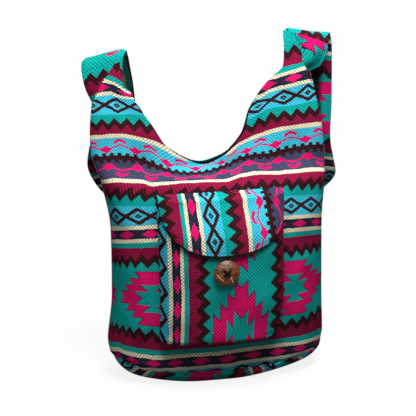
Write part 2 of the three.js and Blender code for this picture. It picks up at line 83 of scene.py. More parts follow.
def aimed(name, data, place, target):
    """A camera or lamp at a place, turned straight at its target."""
    made = bpy.data.objects.new(name, data)
    made.location = place
    made.rotation_mode = "QUATERNION"
    made.rotation_quaternion = (target - made.location).to_track_quat("-Z", "Y")
    scene.collection.objects.link(made)
    return made


level_share = math.cos(VIEW_RISE)
away = Vector((math.sin(VIEW_TURN) * level_share, -math.cos(VIEW_TURN) * level_share, math.sin(VIEW_RISE)))
camera_data = bpy.data.cameras.new("view_camera")
camera_data.lens = LENS
camera_data.sensor_width = SENSOR
scene.camera = aimed("view_camera", camera_data, VIEW_TARGET + away * VIEW_DISTANCE, VIEW_TARGET)
for name, watts, width, place in LAMPS:
    lamp_data = bpy.data.lights.new(name, "AREA")
    lamp_data.size = width
    lamp_data.energy = watts
    lamp = aimed(name, lamp_data, place, LAMP_TARGET)
    lamp.visible_camera = False
    lamp.visible_diffuse = name != "gloss_lamp"
print("camera at", [round(value, 3) for value in scene.camera.location])

# %% Surround
SURROUND = 0.135
WHITE = (1, 1, 1, 1)


def blank(owner):
    """The node tree of a material or world, emptied."""
    owner.use_nodes = True
    owner.node_tree.nodes.clear()
    return owner.node_tree


def add(tree, kind, inputs=None, out=0, **settings):
    """Adds one shader node, fills its inputs with values or with other nodes' outputs, returns an output."""
    made = tree.nodes.new("ShaderNode" + kind)
    for name, value in settings.items():
        setattr(made, name, value)
    for place, value in (inputs or {}).items():
        if isinstance(value, bpy.types.NodeSocket):
            tree.links.new(value, made.inputs[place])
        else:
            made.inputs[place].default_value = value
    return made.outputs[out] if len(made.outputs) else None


def seen_directly(tree):
    """One where a ray comes from the camera or through a mirror or glass, and nothing elsewhere."""
    rays = add(tree, "LightPath").node.outputs
    seen = add(tree, "Math", {0: rays["Is Camera Ray"], 1: rays["Is Glossy Ray"]}, operation="MAXIMUM")
    return add(tree, "Math", {0: seen, 1: rays["Is Transmission Ray"]}, operation="MAXIMUM")


world = bpy.data.worlds.new("white_surround")
sky = blank(world)
surround = add(sky, "Background", {"Color": WHITE, "Strength": SURROUND})
backdrop = add(sky, "Background", {"Color": WHITE, "Strength": 1.0})
both = add(sky, "MixShader", {0: seen_directly(sky), 1: surround, 2: backdrop})
add(sky, "OutputWorld", {0: both})
scene.world = world
print("surround of strength", SURROUND)

# %% Floor
FLOOR_SIZE = 3.0
FLOOR_SEEN = 0.85
FLOOR_BOUNCE = 0.1
FLOOR_GLOW = 0.86
# How far from the middle the floor starts and ends to fade to white.
FADE_START = 0.12
FADE_END = 0.42

floor_paint = bpy.data.materials.new("white_floor")
ground = blank(floor_paint)
seen = seen_directly(ground)
dim, pale = [(level, level, level, 1) for level in (FLOOR_BOUNCE, FLOOR_SEEN)]
paint = add(ground, "Mix", {0: seen, 6: dim, 7: pale}, out=2, data_type="RGBA")
matt = add(ground, "BsdfDiffuse", {"Color": paint})
glow = add(ground, "Emission", {"Color": WHITE, "Strength": 1.0})
spot = add(ground, "TexCoord", out=3)
far = add(ground, "VectorMath", {0: spot}, out=1, operation="LENGTH")
white = add(ground, "MapRange", {0: far, 1: FADE_START, 2: FADE_END, 3: FLOOR_GLOW, 4: 1.0},
            interpolation_type="SMOOTHSTEP")
seen_white = add(ground, "Math", {0: seen, 1: white}, operation="MULTIPLY")
mixed = add(ground, "MixShader", {0: seen_white, 1: matt, 2: glow})
add(ground, "OutputMaterial", {0: mixed})
half = FLOOR_SIZE / 2
corners = [(-half, -half, 0), (half, -half, 0), (half, half, 0), (-half, half, 0)]
floor_mesh = bpy.data.meshes.new("floor")
floor_mesh.from_pydata(corners, [], [(0, 1, 2, 3)])
floor_mesh.materials.append(floor_paint)
floor = bpy.data.objects.new("floor", floor_mesh)
scene.collection.objects.link(floor)
print("floor of", FLOOR_SIZE, "m")

# %% [markdown]
# ## The banded twill
#
# The cloth is woven in bands: plain teal with stepped medallions, zigzags in brown, maroon, narrow cream
# ropes, a navy band of diamonds, a turquoise chain and a pair of waves on both sides of a notched brown
# band. The bands repeat every 358 mm and mirror about the middle of the teal one, so one distance from that
# middle decides the colour. A picture of the cloth would be quicker, but sums stay sharp at any size.
#
# Every cloth piece carries its place on the flat cloth as a UV map in millimetres: u runs along the bands
# and v across them. A second map gives the distance to the nearest medallion, and a painted shade: a share
# of the colour, one except on the strap's folds, where it darkens the cloth as shade would. The weave shows
# as threads that cross, strongest on the cream.

# %% Colours and bands
TEAL = "#0a9a93"
BROWN = "#341619"
MAROON = "#84143a"
CREAM = "#ddd2b2"
NAVY = "#23263a"
PINK = "#d41264"
TURQUOISE = "#38b2ca"
PURPLE = "#3c3f5a"
FIGURE_EDGE = "#4a1030"
HALF_REPEAT = 179.0
# Each colour starts at a distance from the middle of the teal band, in millimetres.
BANDS = [(0.0, TEAL), (42.5, BROWN), (52.0, MAROON), (65.0, TEAL), (71.2, CREAM), (75.9, NAVY), (88.0, CREAM),
         (92.7, TURQUOISE), (116.9, TEAL), (126.5, BROWN), (136.0, MAROON), (145.0, CREAM),
         (150.6, TURQUOISE)]


def linear(code):
    """The linear colour of an sRGB hex code, with full opacity."""
    parts = np.array([int(code[i:i + 2], 16) for i in (1, 3, 5)]) / 255
    low, high = parts / 12.92, ((parts + 0.055) / 1.055) ** 2.4
    return (*np.where(parts <= 0.04045, low, high), 1.0)


print("bands:", len(BANDS), "in half a repeat of", HALF_REPEAT, "mm")

# %% Sums for the bands and zigzags
# Sizes are in millimetres. A pair is the middle of a line or a band and half its width.
WAVER = 1.3
TOOTH = 8.7
TOOTH_HEIGHT = 4.7
FIRST_ZIGZAG = (47.3, 10.5)
SECOND_ZIGZAG = (131.2, 9.0)
# Each sum has a name, an operation, and its inputs by name or as numbers.
SUMS = [
    # Threads slip a little in weaving, so the edges of the bands waver by about a millimetre.
    ("shift", "MULTIPLY_ADD", "slip", 2 * WAVER, -WAVER),
    ("across", "ADD", "level", "shift"),
    ("away", "PINGPONG", "across", HALF_REPEAT),
    ("turns", "DIVIDE", "across", 2 * HALF_REPEAT),
    ("turn_share", "FRACT", "turns"),
    ("mirrored", "GREATER_THAN", "turn_share", 0.5),
    # The zigzags: the distance itself goes up and down along the band where the brown edges lie.
    ("saw", "PINGPONG", "along", TOOTH),
    ("teeth", "MULTIPLY_ADD", "saw", 2 * TOOTH_HEIGHT / TOOTH, -TOOTH_HEIGHT),
    ("near_first", "COMPARE", "away", *FIRST_ZIGZAG),
    ("near_second", "COMPARE", "away", *SECOND_ZIGZAG),
    ("near_teeth", "MAXIMUM", "near_first", "near_second"),
    ("bent", "MULTIPLY_ADD", "teeth", "near_teeth", "away"),
    ("band", "DIVIDE", "bent", HALF_REPEAT)]
print("bands and zigzags:", len(SUMS), "sums so far")

# %% Sums for the diamonds and the chain
CELL = 17.0
NAVY_START = 26.0
NAVY_MIDDLE = 81.95
DIAMOND_LONG = 12.5
DIAMOND_TALL = 5.4
CHAIN_START = 23.0
CHAIN = (104.9, 12.0)
CHAIN_TALL = 8.7
CHAIN_LINE = (0.0, 2.4)
EYE_LONG = 5.0
EYE_TALL = 3.3
EYE_RING = (0.63, 0.38)
SUMS += [
    # The navy diamonds: shares of the half length and the half height that add up to less than one.
    ("navy_run", "ADD", "along", NAVY_START),
    ("navy_cell", "PINGPONG", "navy_run", CELL),
    ("from_navy", "SUBTRACT", "away", NAVY_MIDDLE),
    ("navy_off", "ABSOLUTE", "from_navy"),
    ("navy_tall", "DIVIDE", "navy_off", DIAMOND_TALL),
    ("navy_sum", "MULTIPLY_ADD", "navy_cell", 1 / DIAMOND_LONG, "navy_tall"),
    ("diamonds", "LESS_THAN", "navy_sum", 1.0),
    # The chain: two lines that cross at the cell ends, and a small ring of brown in each cell.
    ("chain_run", "ADD", "along", CHAIN_START),
    ("chain_cell", "PINGPONG", "chain_run", CELL),
    ("chain_late", "SUBTRACT", CELL, "chain_cell"),
    ("from_chain", "SUBTRACT", "away", CHAIN[0]),
    ("chain_off", "ABSOLUTE", "from_chain"),
    ("chain_level", "MULTIPLY_ADD", "chain_cell", -CHAIN_TALL / CELL, "chain_off"),
    ("chain_line", "COMPARE", "chain_level", *CHAIN_LINE),
    ("eye_tall", "DIVIDE", "chain_off", EYE_TALL),
    ("eye_sum", "MULTIPLY_ADD", "chain_late", 1 / EYE_LONG, "eye_tall"),
    ("eye", "COMPARE", "eye_sum", *EYE_RING),
    ("links", "MAXIMUM", "chain_line", "eye"),
    ("in_chain", "COMPARE", "away", *CHAIN),
    ("links_here", "MULTIPLY", "links", "in_chain")]
print("diamonds and the chain:", len(SUMS), "sums so far")

# %% Sums for the waves and the notches
WAVE_START = BANDS[-1][0]
WAVE_CELL = 20.5
WAVE_RISE = 6.0
WAVE_LINE = (11.2, 1.2)
GEM_LEVEL = 11.6
GEM_LONG = 9.0
GEM_TALL = 5.8
BAR_SLOPE = 0.42
BAR_LINE = (24.4, 2.2)
BAR_LONG = 8.6
NOTCH = 11.0
NOTCH_DEPTH = 3.5
NOTCH_FLOOR = 3.0
SUMS += [
    # The waves: a thin line beside the notched band, diamonds at its low and bars at its high points.
    ("cell", "PINGPONG", "along", WAVE_CELL),
    ("late", "SUBTRACT", WAVE_CELL, "cell"),
    ("inward", "SUBTRACT", HALF_REPEAT, "away"),
    ("in_wave", "GREATER_THAN", "away", WAVE_START),
    ("purple_here", "MULTIPLY", "in_wave", "mirrored"),
    ("line_level", "MULTIPLY_ADD", "cell", -WAVE_RISE / WAVE_CELL, "inward"),
    ("line", "COMPARE", "line_level", *WAVE_LINE),
    ("gem_level", "SUBTRACT", "inward", GEM_LEVEL),
    ("gem_off", "ABSOLUTE", "gem_level"),
    ("gem_tall", "DIVIDE", "gem_off", GEM_TALL),
    ("gem_sum", "MULTIPLY_ADD", "cell", 1 / GEM_LONG, "gem_tall"),
    ("gem", "LESS_THAN", "gem_sum", 1.0),
    ("bar_level", "MULTIPLY_ADD", "late", BAR_SLOPE, "inward"),
    ("bar", "COMPARE", "bar_level", *BAR_LINE),
    ("bar_near", "LESS_THAN", "late", BAR_LONG),
    ("bar_here", "MULTIPLY", "bar", "bar_near"),
    ("wave", "MAXIMUM", "line", "gem"),
    ("figures", "MAXIMUM", "wave", "bar_here"),
    ("figures_here", "MULTIPLY", "figures", "in_wave"),
    # The notches: the brown band is deeper over half of each length, first on one side, then on the other.
    ("notch_run", "MULTIPLY_ADD", "mirrored", NOTCH / 2, "along"),
    ("notch_turns", "DIVIDE", "notch_run", NOTCH),
    ("notch_share", "FRACT", "notch_turns"),
    ("notch", "GREATER_THAN", "notch_share", 0.5),
    ("notch_edge", "MULTIPLY_ADD", "notch", NOTCH_DEPTH, NOTCH_FLOOR),
    ("notched", "LESS_THAN", "inward", "notch_edge")]
print("waves and the notches:", len(SUMS), "sums so far")

# %% Sums for the medallions
STEP = 8.78
STEP_BACK = 12.8
STEP_SLANT = 8.5
LAST_STEP = 3.5
MEDALLION_REACH = 52.2
HOLE_BACK = 10.3
HOLE_SLANT = 11.0
HOLE_REACH = 14.3
LAST_HOLE_STEP = 1.5
EDGE = 0.8
STEP_TOP = 0.9
SUMS += [
    # The medallion: four steps outward from the middle line, each with slanting ends, and a stepped hole.
    ("rise", "DIVIDE", "away", STEP),
    ("stair", "FLOOR", "rise"),
    ("slope", "FRACT", "rise"),
    ("reach", "MULTIPLY_ADD", "stair", -STEP_BACK, MEDALLION_REACH),
    ("reach_here", "MULTIPLY_ADD", "slope", STEP_SLANT, "reach"),
    ("within", "LESS_THAN", "star", "reach_here"),
    ("on_stair", "LESS_THAN", "stair", LAST_STEP),
    ("hole_reach", "MULTIPLY_ADD", "stair", -HOLE_BACK, HOLE_REACH),
    ("hole_here", "MULTIPLY_ADD", "slope", HOLE_SLANT, "hole_reach"),
    ("outside_hole", "GREATER_THAN", "star", "hole_here"),
    ("past_hole", "GREATER_THAN", "stair", LAST_HOLE_STEP),
    ("solid", "MAXIMUM", "outside_hole", "past_hole"),
    ("inside_ends", "MULTIPLY", "within", "on_stair"),
    ("medallion", "MULTIPLY", "inside_ends", "solid"),
    # Its ends and steps have a narrow dark edge, where the two wefts cross.
    ("end_edge", "COMPARE", "star", "reach_here", EDGE),
    ("inner_edge", "COMPARE", "star", "hole_here", EDGE),
    ("before_hole", "LESS_THAN", "stair", LAST_HOLE_STEP),
    ("hole_edge", "MULTIPLY", "inner_edge", "before_hole"),
    ("slant_edge", "MAXIMUM", "end_edge", "hole_edge"),
    ("slant_here", "MULTIPLY", "slant_edge", "on_stair"),
    ("step_top", "GREATER_THAN", "slope", STEP_TOP),
    ("next_reach", "SUBTRACT", "reach", STEP_BACK),
    ("past_next", "GREATER_THAN", "star", "next_reach"),
    ("open_top", "MULTIPLY", "step_top", "past_next"),
    ("step_edge", "MULTIPLY", "open_top", "medallion"),
    ("edge_here", "MAXIMUM", "slant_here", "step_edge")]
print("medallions:", len(SUMS), "sums so far")

# %% Sums for the crossed threads
RIDGE = 2.2
GRAIN_RELIEF = 0.5
# How much an unevenness adds to the least shade, and that shade.
GRAIN_SHADE = (1.3, 0.35)
FADE_SHADE = (0.3, 0.85)
SUMS += [
    # Threads that pass over each other, drawn coarser than the real ones so that they can be seen.
    ("falling", "ADD", "along", "level"),
    ("rising", "SUBTRACT", "along", "level"),
    ("one_way", "PINGPONG", "falling", RIDGE),
    ("other_way", "PINGPONG", "rising", RIDGE),
    ("crossed", "ADD", "one_way", "other_way"),
    ("ridges", "DIVIDE", "crossed", 2 * RIDGE),
    ("relief", "MULTIPLY_ADD", "grain", GRAIN_RELIEF, "ridges"),
    # The yarn is uneven from thread to thread, and the dye from place to place.
    ("worn", "MULTIPLY_ADD", "grain", *GRAIN_SHADE),
    ("faded", "MULTIPLY_ADD", "fade", *FADE_SHADE),
    ("uneven", "MULTIPLY", "worn", "faded"),
    # lit is the unevenness times the painted shade from the second map.
    ("lit", "MULTIPLY", "uneven", "painted_shade")]
# The figures in the order in which they are laid over the bands.
FIGURES = [("diamonds", PINK), ("links_here", BROWN), ("purple_here", PURPLE), ("figures_here", PINK),
           ("notched", BROWN), ("medallion", PINK), ("edge_here", FIGURE_EDGE)]
print("crossed threads:", len(SUMS), "sums so far")

# %% Cloth material
# The second map of each side holds the distance to the medallion and the painted shade.
RIGHT_SIDE = ("Cloth", "MedallionShade")
WRONG_SIDE = ("WrongCloth", "WrongMedallionShade")
# Each unevenness: how many patches come to a millimetre, and how many finer layers it has.
UNEVEN = {"slip": (0.11, 3.0), "grain": (0.7, 3.0), "fade": (0.025, 2.0)}
CREAM_THREADS = 0.75
OTHER_THREADS = 0.55
# Between the threads the cloth is dark and on top of them light: where each starts, and its shade.
GAP = (0.3, 0.2)
TOP = (0.7, 1.55)


def banded_twill(name, cloth_map, medallion_and_shade_map):
    """The striped cloth: bands by distance, then the figures, then the crossed threads of the weave, dimmed
    by painted shade.
    """
    material = bpy.data.materials.new(name)
    t = blank(material)
    flat = add(t, "UVMap", uv_map=cloth_map)
    along = add(t, "SeparateXYZ", {0: flat})
    star = add(t, "SeparateXYZ", {0: add(t, "UVMap", uv_map=medallion_and_shade_map)})
    # The second half of the second map is the painted shade.
    known = {"along": along, "level": along.node.outputs[1], "star": star, "painted_shade": star.node.outputs[1]}
    for step, (scale, detail) in UNEVEN.items():
        known[step] = add(t, "TexNoise", {"Vector": flat, "Scale": scale, "Detail": detail})
    for step, operation, *terms in SUMS:
        inputs = {place: known.get(term, term) for place, term in enumerate(terms)}
        known[step] = add(t, "Math", inputs, operation=operation)
    paint = add(t, "ValToRGB", {0: known["band"]})
    threads = paint.node.outputs[1]
    ramp = paint.node.color_ramp
    ramp.interpolation = "CONSTANT"
    for start, code in BANDS[1:-1]:
        ramp.elements.new(start / HALF_REPEAT)
    for stop, (start, code) in zip(ramp.elements, BANDS):
        stop.position = start / HALF_REPEAT
        stop.color = linear(code)
        # The opacity carries how much the threads show: most on the cream.
        stop.color[3] = CREAM_THREADS if code == CREAM else OTHER_THREADS
    for mask, code in FIGURES:
        paint = add(t, "Mix", {0: known[mask], 6: paint, 7: linear(code)}, out=2, data_type="RGBA")
    yarn = add(t, "MapRange", {0: known["ridges"], 1: GAP[0], 2: TOP[0], 3: GAP[1], 4: TOP[1]},
               interpolation_type="SMOOTHSTEP")
    thread = add(t, "Mix", {0: threads, 2: 1.0, 3: yarn}, data_type="FLOAT")
    shade = add(t, "Math", {0: thread, 1: known["lit"]}, operation="MULTIPLY")
    colour = add(t, "VectorMath", {0: paint, "Scale": shade}, operation="SCALE")
    bump = add(t, "Bump", {"Strength": 0.55, "Distance": 0.0005, "Height": known["relief"]})
    # Cotton fibres scatter the light, so the cloth looks matt and grained, with hardly any gloss.
    cotton = add(t, "BsdfPrincipled", {"Base Color": colour, "Roughness": 0.9, "Normal": bump,
                                       "Specular IOR Level": 0.01})
    add(t, "OutputMaterial", {0: cotton})
    return material


TWILL = banded_twill("banded_twill_cotton", *RIGHT_SIDE)
TWILL_BEHIND = banded_twill("banded_twill_wrong_side", *WRONG_SIDE)
print("cloth material has", len(TWILL.node_tree.nodes), "nodes")

# %% [markdown]
# ## The other materials
#
# The lining is a thin dark cotton. The button is a slice of coconut shell: brown with darker grain and two
# pale scratches, polished but not shiny. The threads are twisted yarn, seen as fine slanting lines. Each is
# a few nodes on the piece's own map or on its place, so that nothing slides when the bag is moved.

# %% Lining and thread materials
LINING_THREAD = 0.7
# Lines of twist, about one to a millimetre: this node's lines lie a fifth of pi over the scale apart.
TWIST_SCALE = 600.0


def plain_weave(name, code):
    """A thin plain-woven cotton: two sets of fine threads that cross, in one colour."""
    material = bpy.data.materials.new(name)
    t = blank(material)
    flat = add(t, "UVMap", uv_map=RIGHT_SIDE[0])
    along = add(t, "SeparateXYZ", {0: flat})
    warp = add(t, "Math", {0: along, 1: LINING_THREAD}, operation="PINGPONG")
    weft = add(t, "Math", {0: along.node.outputs[1], 1: LINING_THREAD}, operation="PINGPONG")
    both_ways = add(t, "Math", {0: warp, 1: weft}, operation="ADD")
    height = add(t, "Math", {0: both_ways, 1: 2 * LINING_THREAD}, operation="DIVIDE")
    soil = add(t, "TexNoise", {"Vector": flat, "Scale": 0.05, "Detail": 3.0})
    tone = add(t, "Math", {0: height, 1: 1.0}, operation="ADD")
    shade = add(t, "Math", {0: soil, 1: tone}, operation="MULTIPLY")
    colour = add(t, "VectorMath", {0: linear(code)[:3], "Scale": shade}, operation="SCALE")
    bump = add(t, "Bump", {"Strength": 0.4, "Distance": 0.0003, "Height": height})
    # Dark dyed cotton swallows light, so the inside of the bag looks almost black and quite matt.
    cotton = add(t, "BsdfPrincipled", {"Base Color": colour, "Roughness": 0.92, "Normal": bump,
                                       "Specular IOR Level": 0.05})
    add(t, "OutputMaterial", {0: cotton})
    return material


def twisted_thread(name, code):
    """Sewing thread: one colour with fine slanting lines from the twist."""
    material = bpy.data.materials.new(name)
    t = blank(material)
    place = add(t, "TexCoord", out=3)
    twist = add(t, "TexWave", {"Vector": place, "Scale": TWIST_SCALE, "Distortion": 1.0},
                wave_type="BANDS", bands_direction="DIAGONAL", out=1)
    tone = add(t, "Math", {0: twist, 1: 0.6, 2: 0.7}, operation="MULTIPLY_ADD")
    colour = add(t, "VectorMath", {0: linear(code)[:3], "Scale": tone}, operation="SCALE")
    bump = add(t, "Bump", {"Strength": 0.5, "Distance": 0.0002, "Height": twist})
    # The twist breaks the light into short strokes, and the fibres keep them dull.
    yarn = add(t, "BsdfPrincipled", {"Base Color": colour, "Roughness": 0.8, "Normal": bump,
                                     "Specular IOR Level": 0.02})
    add(t, "OutputMaterial", {0: yarn})
    return material


LINED = (plain_weave("dark_cotton_lining", "#1b151b"), "dark_lining")
BLACK_YARN = (twisted_thread("black_button_thread", "#09080a"), "black_thread")
STITCH_YARN = (twisted_thread("maroon_sewing_thread", "#47101f"), "black_thread")
SEAM_YARN = (twisted_thread("lilac_seam_thread", "#8f7ba8"), "banded_cloth")
BANDED = (TWILL, "banded_cloth")
print("materials:", [finish[0].name for finish in (LINED, BLACK_YARN, STITCH_YARN, SEAM_YARN, BANDED)])

# %% Coconut shell material
# Growth streaks about six millimetres long and under one wide, lying at a slant.
STREAKS_PER_METRE = 170.0
STREAK_SLIMNESS = 7.0
STREAK_TURN = math.radians(35)
STREAK_COLOURS = [(0.38, "#1a0802"), (0.5, "#5c2807"), (0.66, "#b86a18")]
SCRATCH = "#dbb88c"
# Each scratch runs from a start to an end, across and up from the middle of the button, and has a half width.
SCRATCHES = [((-0.0129, -0.0009), (-0.0045, -0.0103), 0.0005), ((0.0045, -0.0049), (0.0080, -0.0130), 0.0006)]


def scratch_line(t, x, z, start, end, half):
    """One where a place lies within half of the line from start to end, and nothing elsewhere."""
    (x0, z0), (x1, z1) = start, end
    length = math.hypot(x1 - x0, z1 - z0)
    dx, dz = (x1 - x0) / length, (z1 - z0) / length
    middle_along = ((x0 + x1) * dx + (z0 + z1) * dz) / 2
    middle_off = x0 * dz - z0 * dx
    part_along = add(t, "Math", {0: z, 1: dz, 2: -middle_along}, operation="MULTIPLY_ADD")
    along = add(t, "Math", {0: x, 1: dx, 2: part_along}, operation="MULTIPLY_ADD")
    part_off = add(t, "Math", {0: z, 1: -dx, 2: -middle_off}, operation="MULTIPLY_ADD")
    off = add(t, "Math", {0: x, 1: dz, 2: part_off}, operation="MULTIPLY_ADD")
    within = add(t, "Math", {0: along, 1: 0.0, 2: length / 2}, operation="COMPARE")
    close = add(t, "Math", {0: off, 1: 0.0, 2: half}, operation="COMPARE")
    return add(t, "Math", {0: within, 1: close}, operation="MULTIPLY")


def coconut_shell(middle):
    """Coconut shell with brown growth streaks, darker patches and scratches measured from its middle."""
    material = bpy.data.materials.new("polished_coconut_shell")
    t = blank(material)
    place = add(t, "TexCoord", out=3)
    lying = add(t, "Mapping", {0: place, 2: (0.0, STREAK_TURN, 0.0), 3: (1.0, 1.0, STREAK_SLIMNESS)})
    streaks = add(t, "TexNoise", {"Vector": lying, "Scale": STREAKS_PER_METRE, "Detail": 6.0,
                                  "Roughness": 0.65})
    colour = add(t, "ValToRGB", {0: streaks})
    stops = colour.node.color_ramp.elements
    stops.new(0.5)
    for stop, (at, code) in zip(stops, STREAK_COLOURS):
        stop.position = at
        stop.color = linear(code)
    own = add(t, "VectorMath", {0: place, 1: middle}, operation="SUBTRACT")
    x = add(t, "SeparateXYZ", {0: own})
    for scratch in SCRATCHES:
        mark = scratch_line(t, x, x.node.outputs[2], *scratch)
        colour = add(t, "Mix", {0: mark, 6: colour, 7: linear(SCRATCH)}, out=2, data_type="RGBA")
    leg_painted_shade = add(t, "Math", {0: streaks, 1: 0.3, 2: 0.1}, operation="MULTIPLY_ADD")
    bump = add(t, "Bump", {"Strength": 0.3, "Distance": 0.0003, "Height": streaks})
    # Polishing leaves the hard streaks glossy and the soft ones dull, so the gloss is soft and broken.
    shell = add(t, "BsdfPrincipled", {"Base Color": colour, "Roughness": leg_painted_shade, "Normal": bump,
                                      "Specular IOR Level": 0.15})
    add(t, "OutputMaterial", {0: shell})
    return material


SHELL = coconut_shell(sum((Vector(corner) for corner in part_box("coconut_button")), Vector()) / 2)
print("button material:", SHELL.name)

# %% [markdown]
# ## Tools for surfaces
#
# A cut of cloth is a grid: one direction runs along the cut, the other across it, and a formula gives each
# crossing its place. Sculpting could give the same folds, but a formula can be read and changed. These
# helpers draw smooth curves through a few chosen points, turn a grid into a piece with thickness and rounded
# edges, and measure it.

# %% Curves


def cubics(places, values, slopes, at):
    """Cubics from point to point, each with the values and the slopes given at both its ends."""
    i = np.clip(np.searchsorted(places, at, side="right") - 1, 0, len(places) - 2)
    shape = np.shape(at) + (1,) * (values.ndim - 1)
    width = (places[i + 1] - places[i]).reshape(shape)
    s = (at - places[i]).reshape(shape) / width
    starts = values[i] * (1 + 2 * s) * (1 - s) ** 2 + slopes[i] * width * s * (1 - s) ** 2
    return starts + values[i + 1] * s * s * (3 - 2 * s) - slopes[i + 1] * width * s * s * (1 - s)


def smooth_curve(points):
    """A curve through (place, value) points that never overshoots them.

    Its slope at a point is the harmonic mean of the slopes beside it, or nought where they disagree.
    """
    places, values = np.array(points, float).T
    steep = np.diff(values) / np.diff(places)
    before, after = steep[:-1], steep[1:]
    agree = before * after > 0
    inner = np.where(agree, 2 * before * after / np.where(agree, before + after, 1.0), 0.0)
    slopes = np.concatenate([steep[:1], inner, steep[-1:]])

    def curve(at):
        """The value at each place; beyond both ends it stays the same."""
        return cubics(places, values, slopes, np.clip(at, places[0], places[-1]))

    return curve


def smoothstep(value, start, end):
    """Nought before start, one after end, and an S-shaped rise between."""
    s = np.clip((value - start) / (end - start), 0, 1)
    return s * s * (3 - 2 * s)


def hump(value, middle, width):
    """One at the middle, falling smoothly to nearly nothing two widths away from it."""
    return np.exp(-((value - middle) / width) ** 2)


print("a quarter of the way along a smooth step:", smoothstep(0.25, 0, 1))

# %% Grids


def run_length(points, axis):
    """Distance along a grid from its first row or column, step by step."""
    steps = np.linalg.norm(np.diff(points, axis=axis), axis=-1)
    return np.insert(np.cumsum(steps, axis=axis), 0, 0, axis=axis)


def grid(*parts):
    """Numbers for each crossing of a grid, such as x, y and z, side by side in one array."""
    return np.stack(np.broadcast_arrays(*parts), axis=-1)


def unit(vectors):
    """Vectors with the same directions and a length of one."""
    return vectors / np.maximum(np.linalg.norm(vectors, axis=-1, keepdims=True), 1e-9)


def grid_normals(points):
    """Unit normals of a grid: the cross product of the steps along its columns and rows."""
    return unit(np.cross(np.gradient(points, axis=1), np.gradient(points, axis=0)))


def push_out(points, distance):
    """A grid moved along its own normals, by a distance for each crossing."""
    return points + grid_normals(points) * np.asarray(distance)[..., None]


def rumple(along, up, waves):
    """Soft unevenness: a sum of sine waves, each with a length, a direction, a height and a start."""
    total = np.zeros(np.broadcast(along, up).shape)
    for length, turn, height, start in waves:
        run = along * math.cos(turn) + up * math.sin(turn)
        total = total + height * np.sin(run * 2 * math.pi / length + start)
    return total


def grid_faces(rows, columns, closed=False):
    """Corner numbers of the quads of a grid; a closed grid joins its last column to its first."""
    row = np.arange(rows - 1)[:, None] * columns
    column = np.arange(columns if closed else columns - 1)
    beside = (column + 1) % columns
    return grid(row + column, row + beside, row + columns + beside, row + columns + column).reshape(-1, 4)


def full_turn(count):
    """Angles evenly spaced round a circle."""
    return np.linspace(0, 2 * math.pi, count, endpoint=False)


def cap_faces(columns):
    """Quads that close a ring of an even number of points, side by side like the rungs of a ladder."""
    step = np.arange(columns // 2 - 1)
    return grid(step, step + 1, columns - 2 - step, columns - 1 - step)


print("a grid of 3 by 4 points has", len(grid_faces(3, 4)), "faces")

# %% Pieces and their maps


def new_piece(name, vertices, faces, finish, node):
    """A mesh object from points in millimetres, smooth, riding on the bag in place of a solid.

    A finish is a material and the name of a slot, which is not used.
    """
    material, slot = finish
    mesh = bpy.data.meshes.new(name)
    mesh.from_pydata((np.asarray(vertices).reshape(-1, 3) * MM).tolist(), [], np.asarray(faces).tolist())
    mesh.shade_smooth()
    mesh.materials.append(material)
    piece = bpy.data.objects.new(name, mesh)
    scene.collection.objects.link(piece)
    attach(piece, "root")
    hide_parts(node)
    return piece


def cloth_maps(piece, faces, per_row, charts, layers):
    """Writes two UV maps: the place on the flat cloth, then the distance to the medallion and the painted
    shade.

    charts lists (first row, map) pairs. A map gives u, v, the distance to the medallion and, where it isn't
    one, the painted shade for each point: a share of the colour that stands in for shade.
    """
    flat = np.ones((len(faces), 4, 4))
    for first_row, chart in charts:
        first, values = first_row * per_row, chart.shape[-1]
        flat[first:, :, :values] = chart.reshape(-1, values)[faces[first:]]
        flat[first:, :, values:] = 1.0
    for layer, pick in zip(layers, (flat[..., :2], flat[..., 2:])):
        uv = piece.data.uv_layers.new(name=layer)
        uv.data.foreach_set("uv", np.ascontiguousarray(pick, dtype=np.float32).ravel())


print("maps on each cloth:", RIGHT_SIDE)

# %% Sheets of cloth
BEVEL_SHARE = 0.36
EDGE_ANGLE = math.radians(60)


def cloth_piece(name, points, charts, finish, node, thickness, closed=False, rounded=True, behind=None):
    """A sheet of cloth: a grid with flat-cloth maps, thickness behind it and rounded edges.

    behind gives the charts of the wrong side, where that shows other bands and other painted shade than the
    right side. The first row of a closed grid is a small ring, which is capped.
    """
    rows, columns = points.shape[:2]
    faces = grid_faces(rows, columns, closed)
    per_row = len(faces) // (rows - 1)
    if closed:
        faces = np.concatenate([faces, cap_faces(columns)[:, ::-1]])
    piece = new_piece(name, points, faces, finish, node)
    cloth_maps(piece, faces, per_row, charts, RIGHT_SIDE)
    solidify = piece.modifiers.new("thickness", "SOLIDIFY")
    solidify.thickness = thickness * MM
    solidify.offset = -1.0
    if behind:
        cloth_maps(piece, faces, per_row, behind, WRONG_SIDE)
        piece.data.materials.append(TWILL_BEHIND)
        solidify.material_offset = 1
    if rounded:
        bevel = piece.modifiers.new("soft_edge", "BEVEL")
        bevel.width = BEVEL_SHARE * thickness * MM
        bevel.segments = 2
        bevel.limit_method = "ANGLE"
        bevel.angle_limit = EDGE_ANGLE
    return piece


print("edges steeper than", round(math.degrees(EDGE_ANGLE)), "degrees are rounded")

# %% [markdown]
# ## The walls
#
# Two panels make the bucket. Seen from above the bag is an oval squared a little at its ends, and its half
# width and half depth change with height: a full belly, then a roof where the panels lean together to the
# mouth, then flat horns. The front panel's horns end in slanting tips that lie over the strap. Simulated
# cloth would sag in its own way, so curves read off the real bag give the shape.
#
# The bands stay level low down. Over the roof the cloth is longer than it is high, so the bands dip at the
# middle.

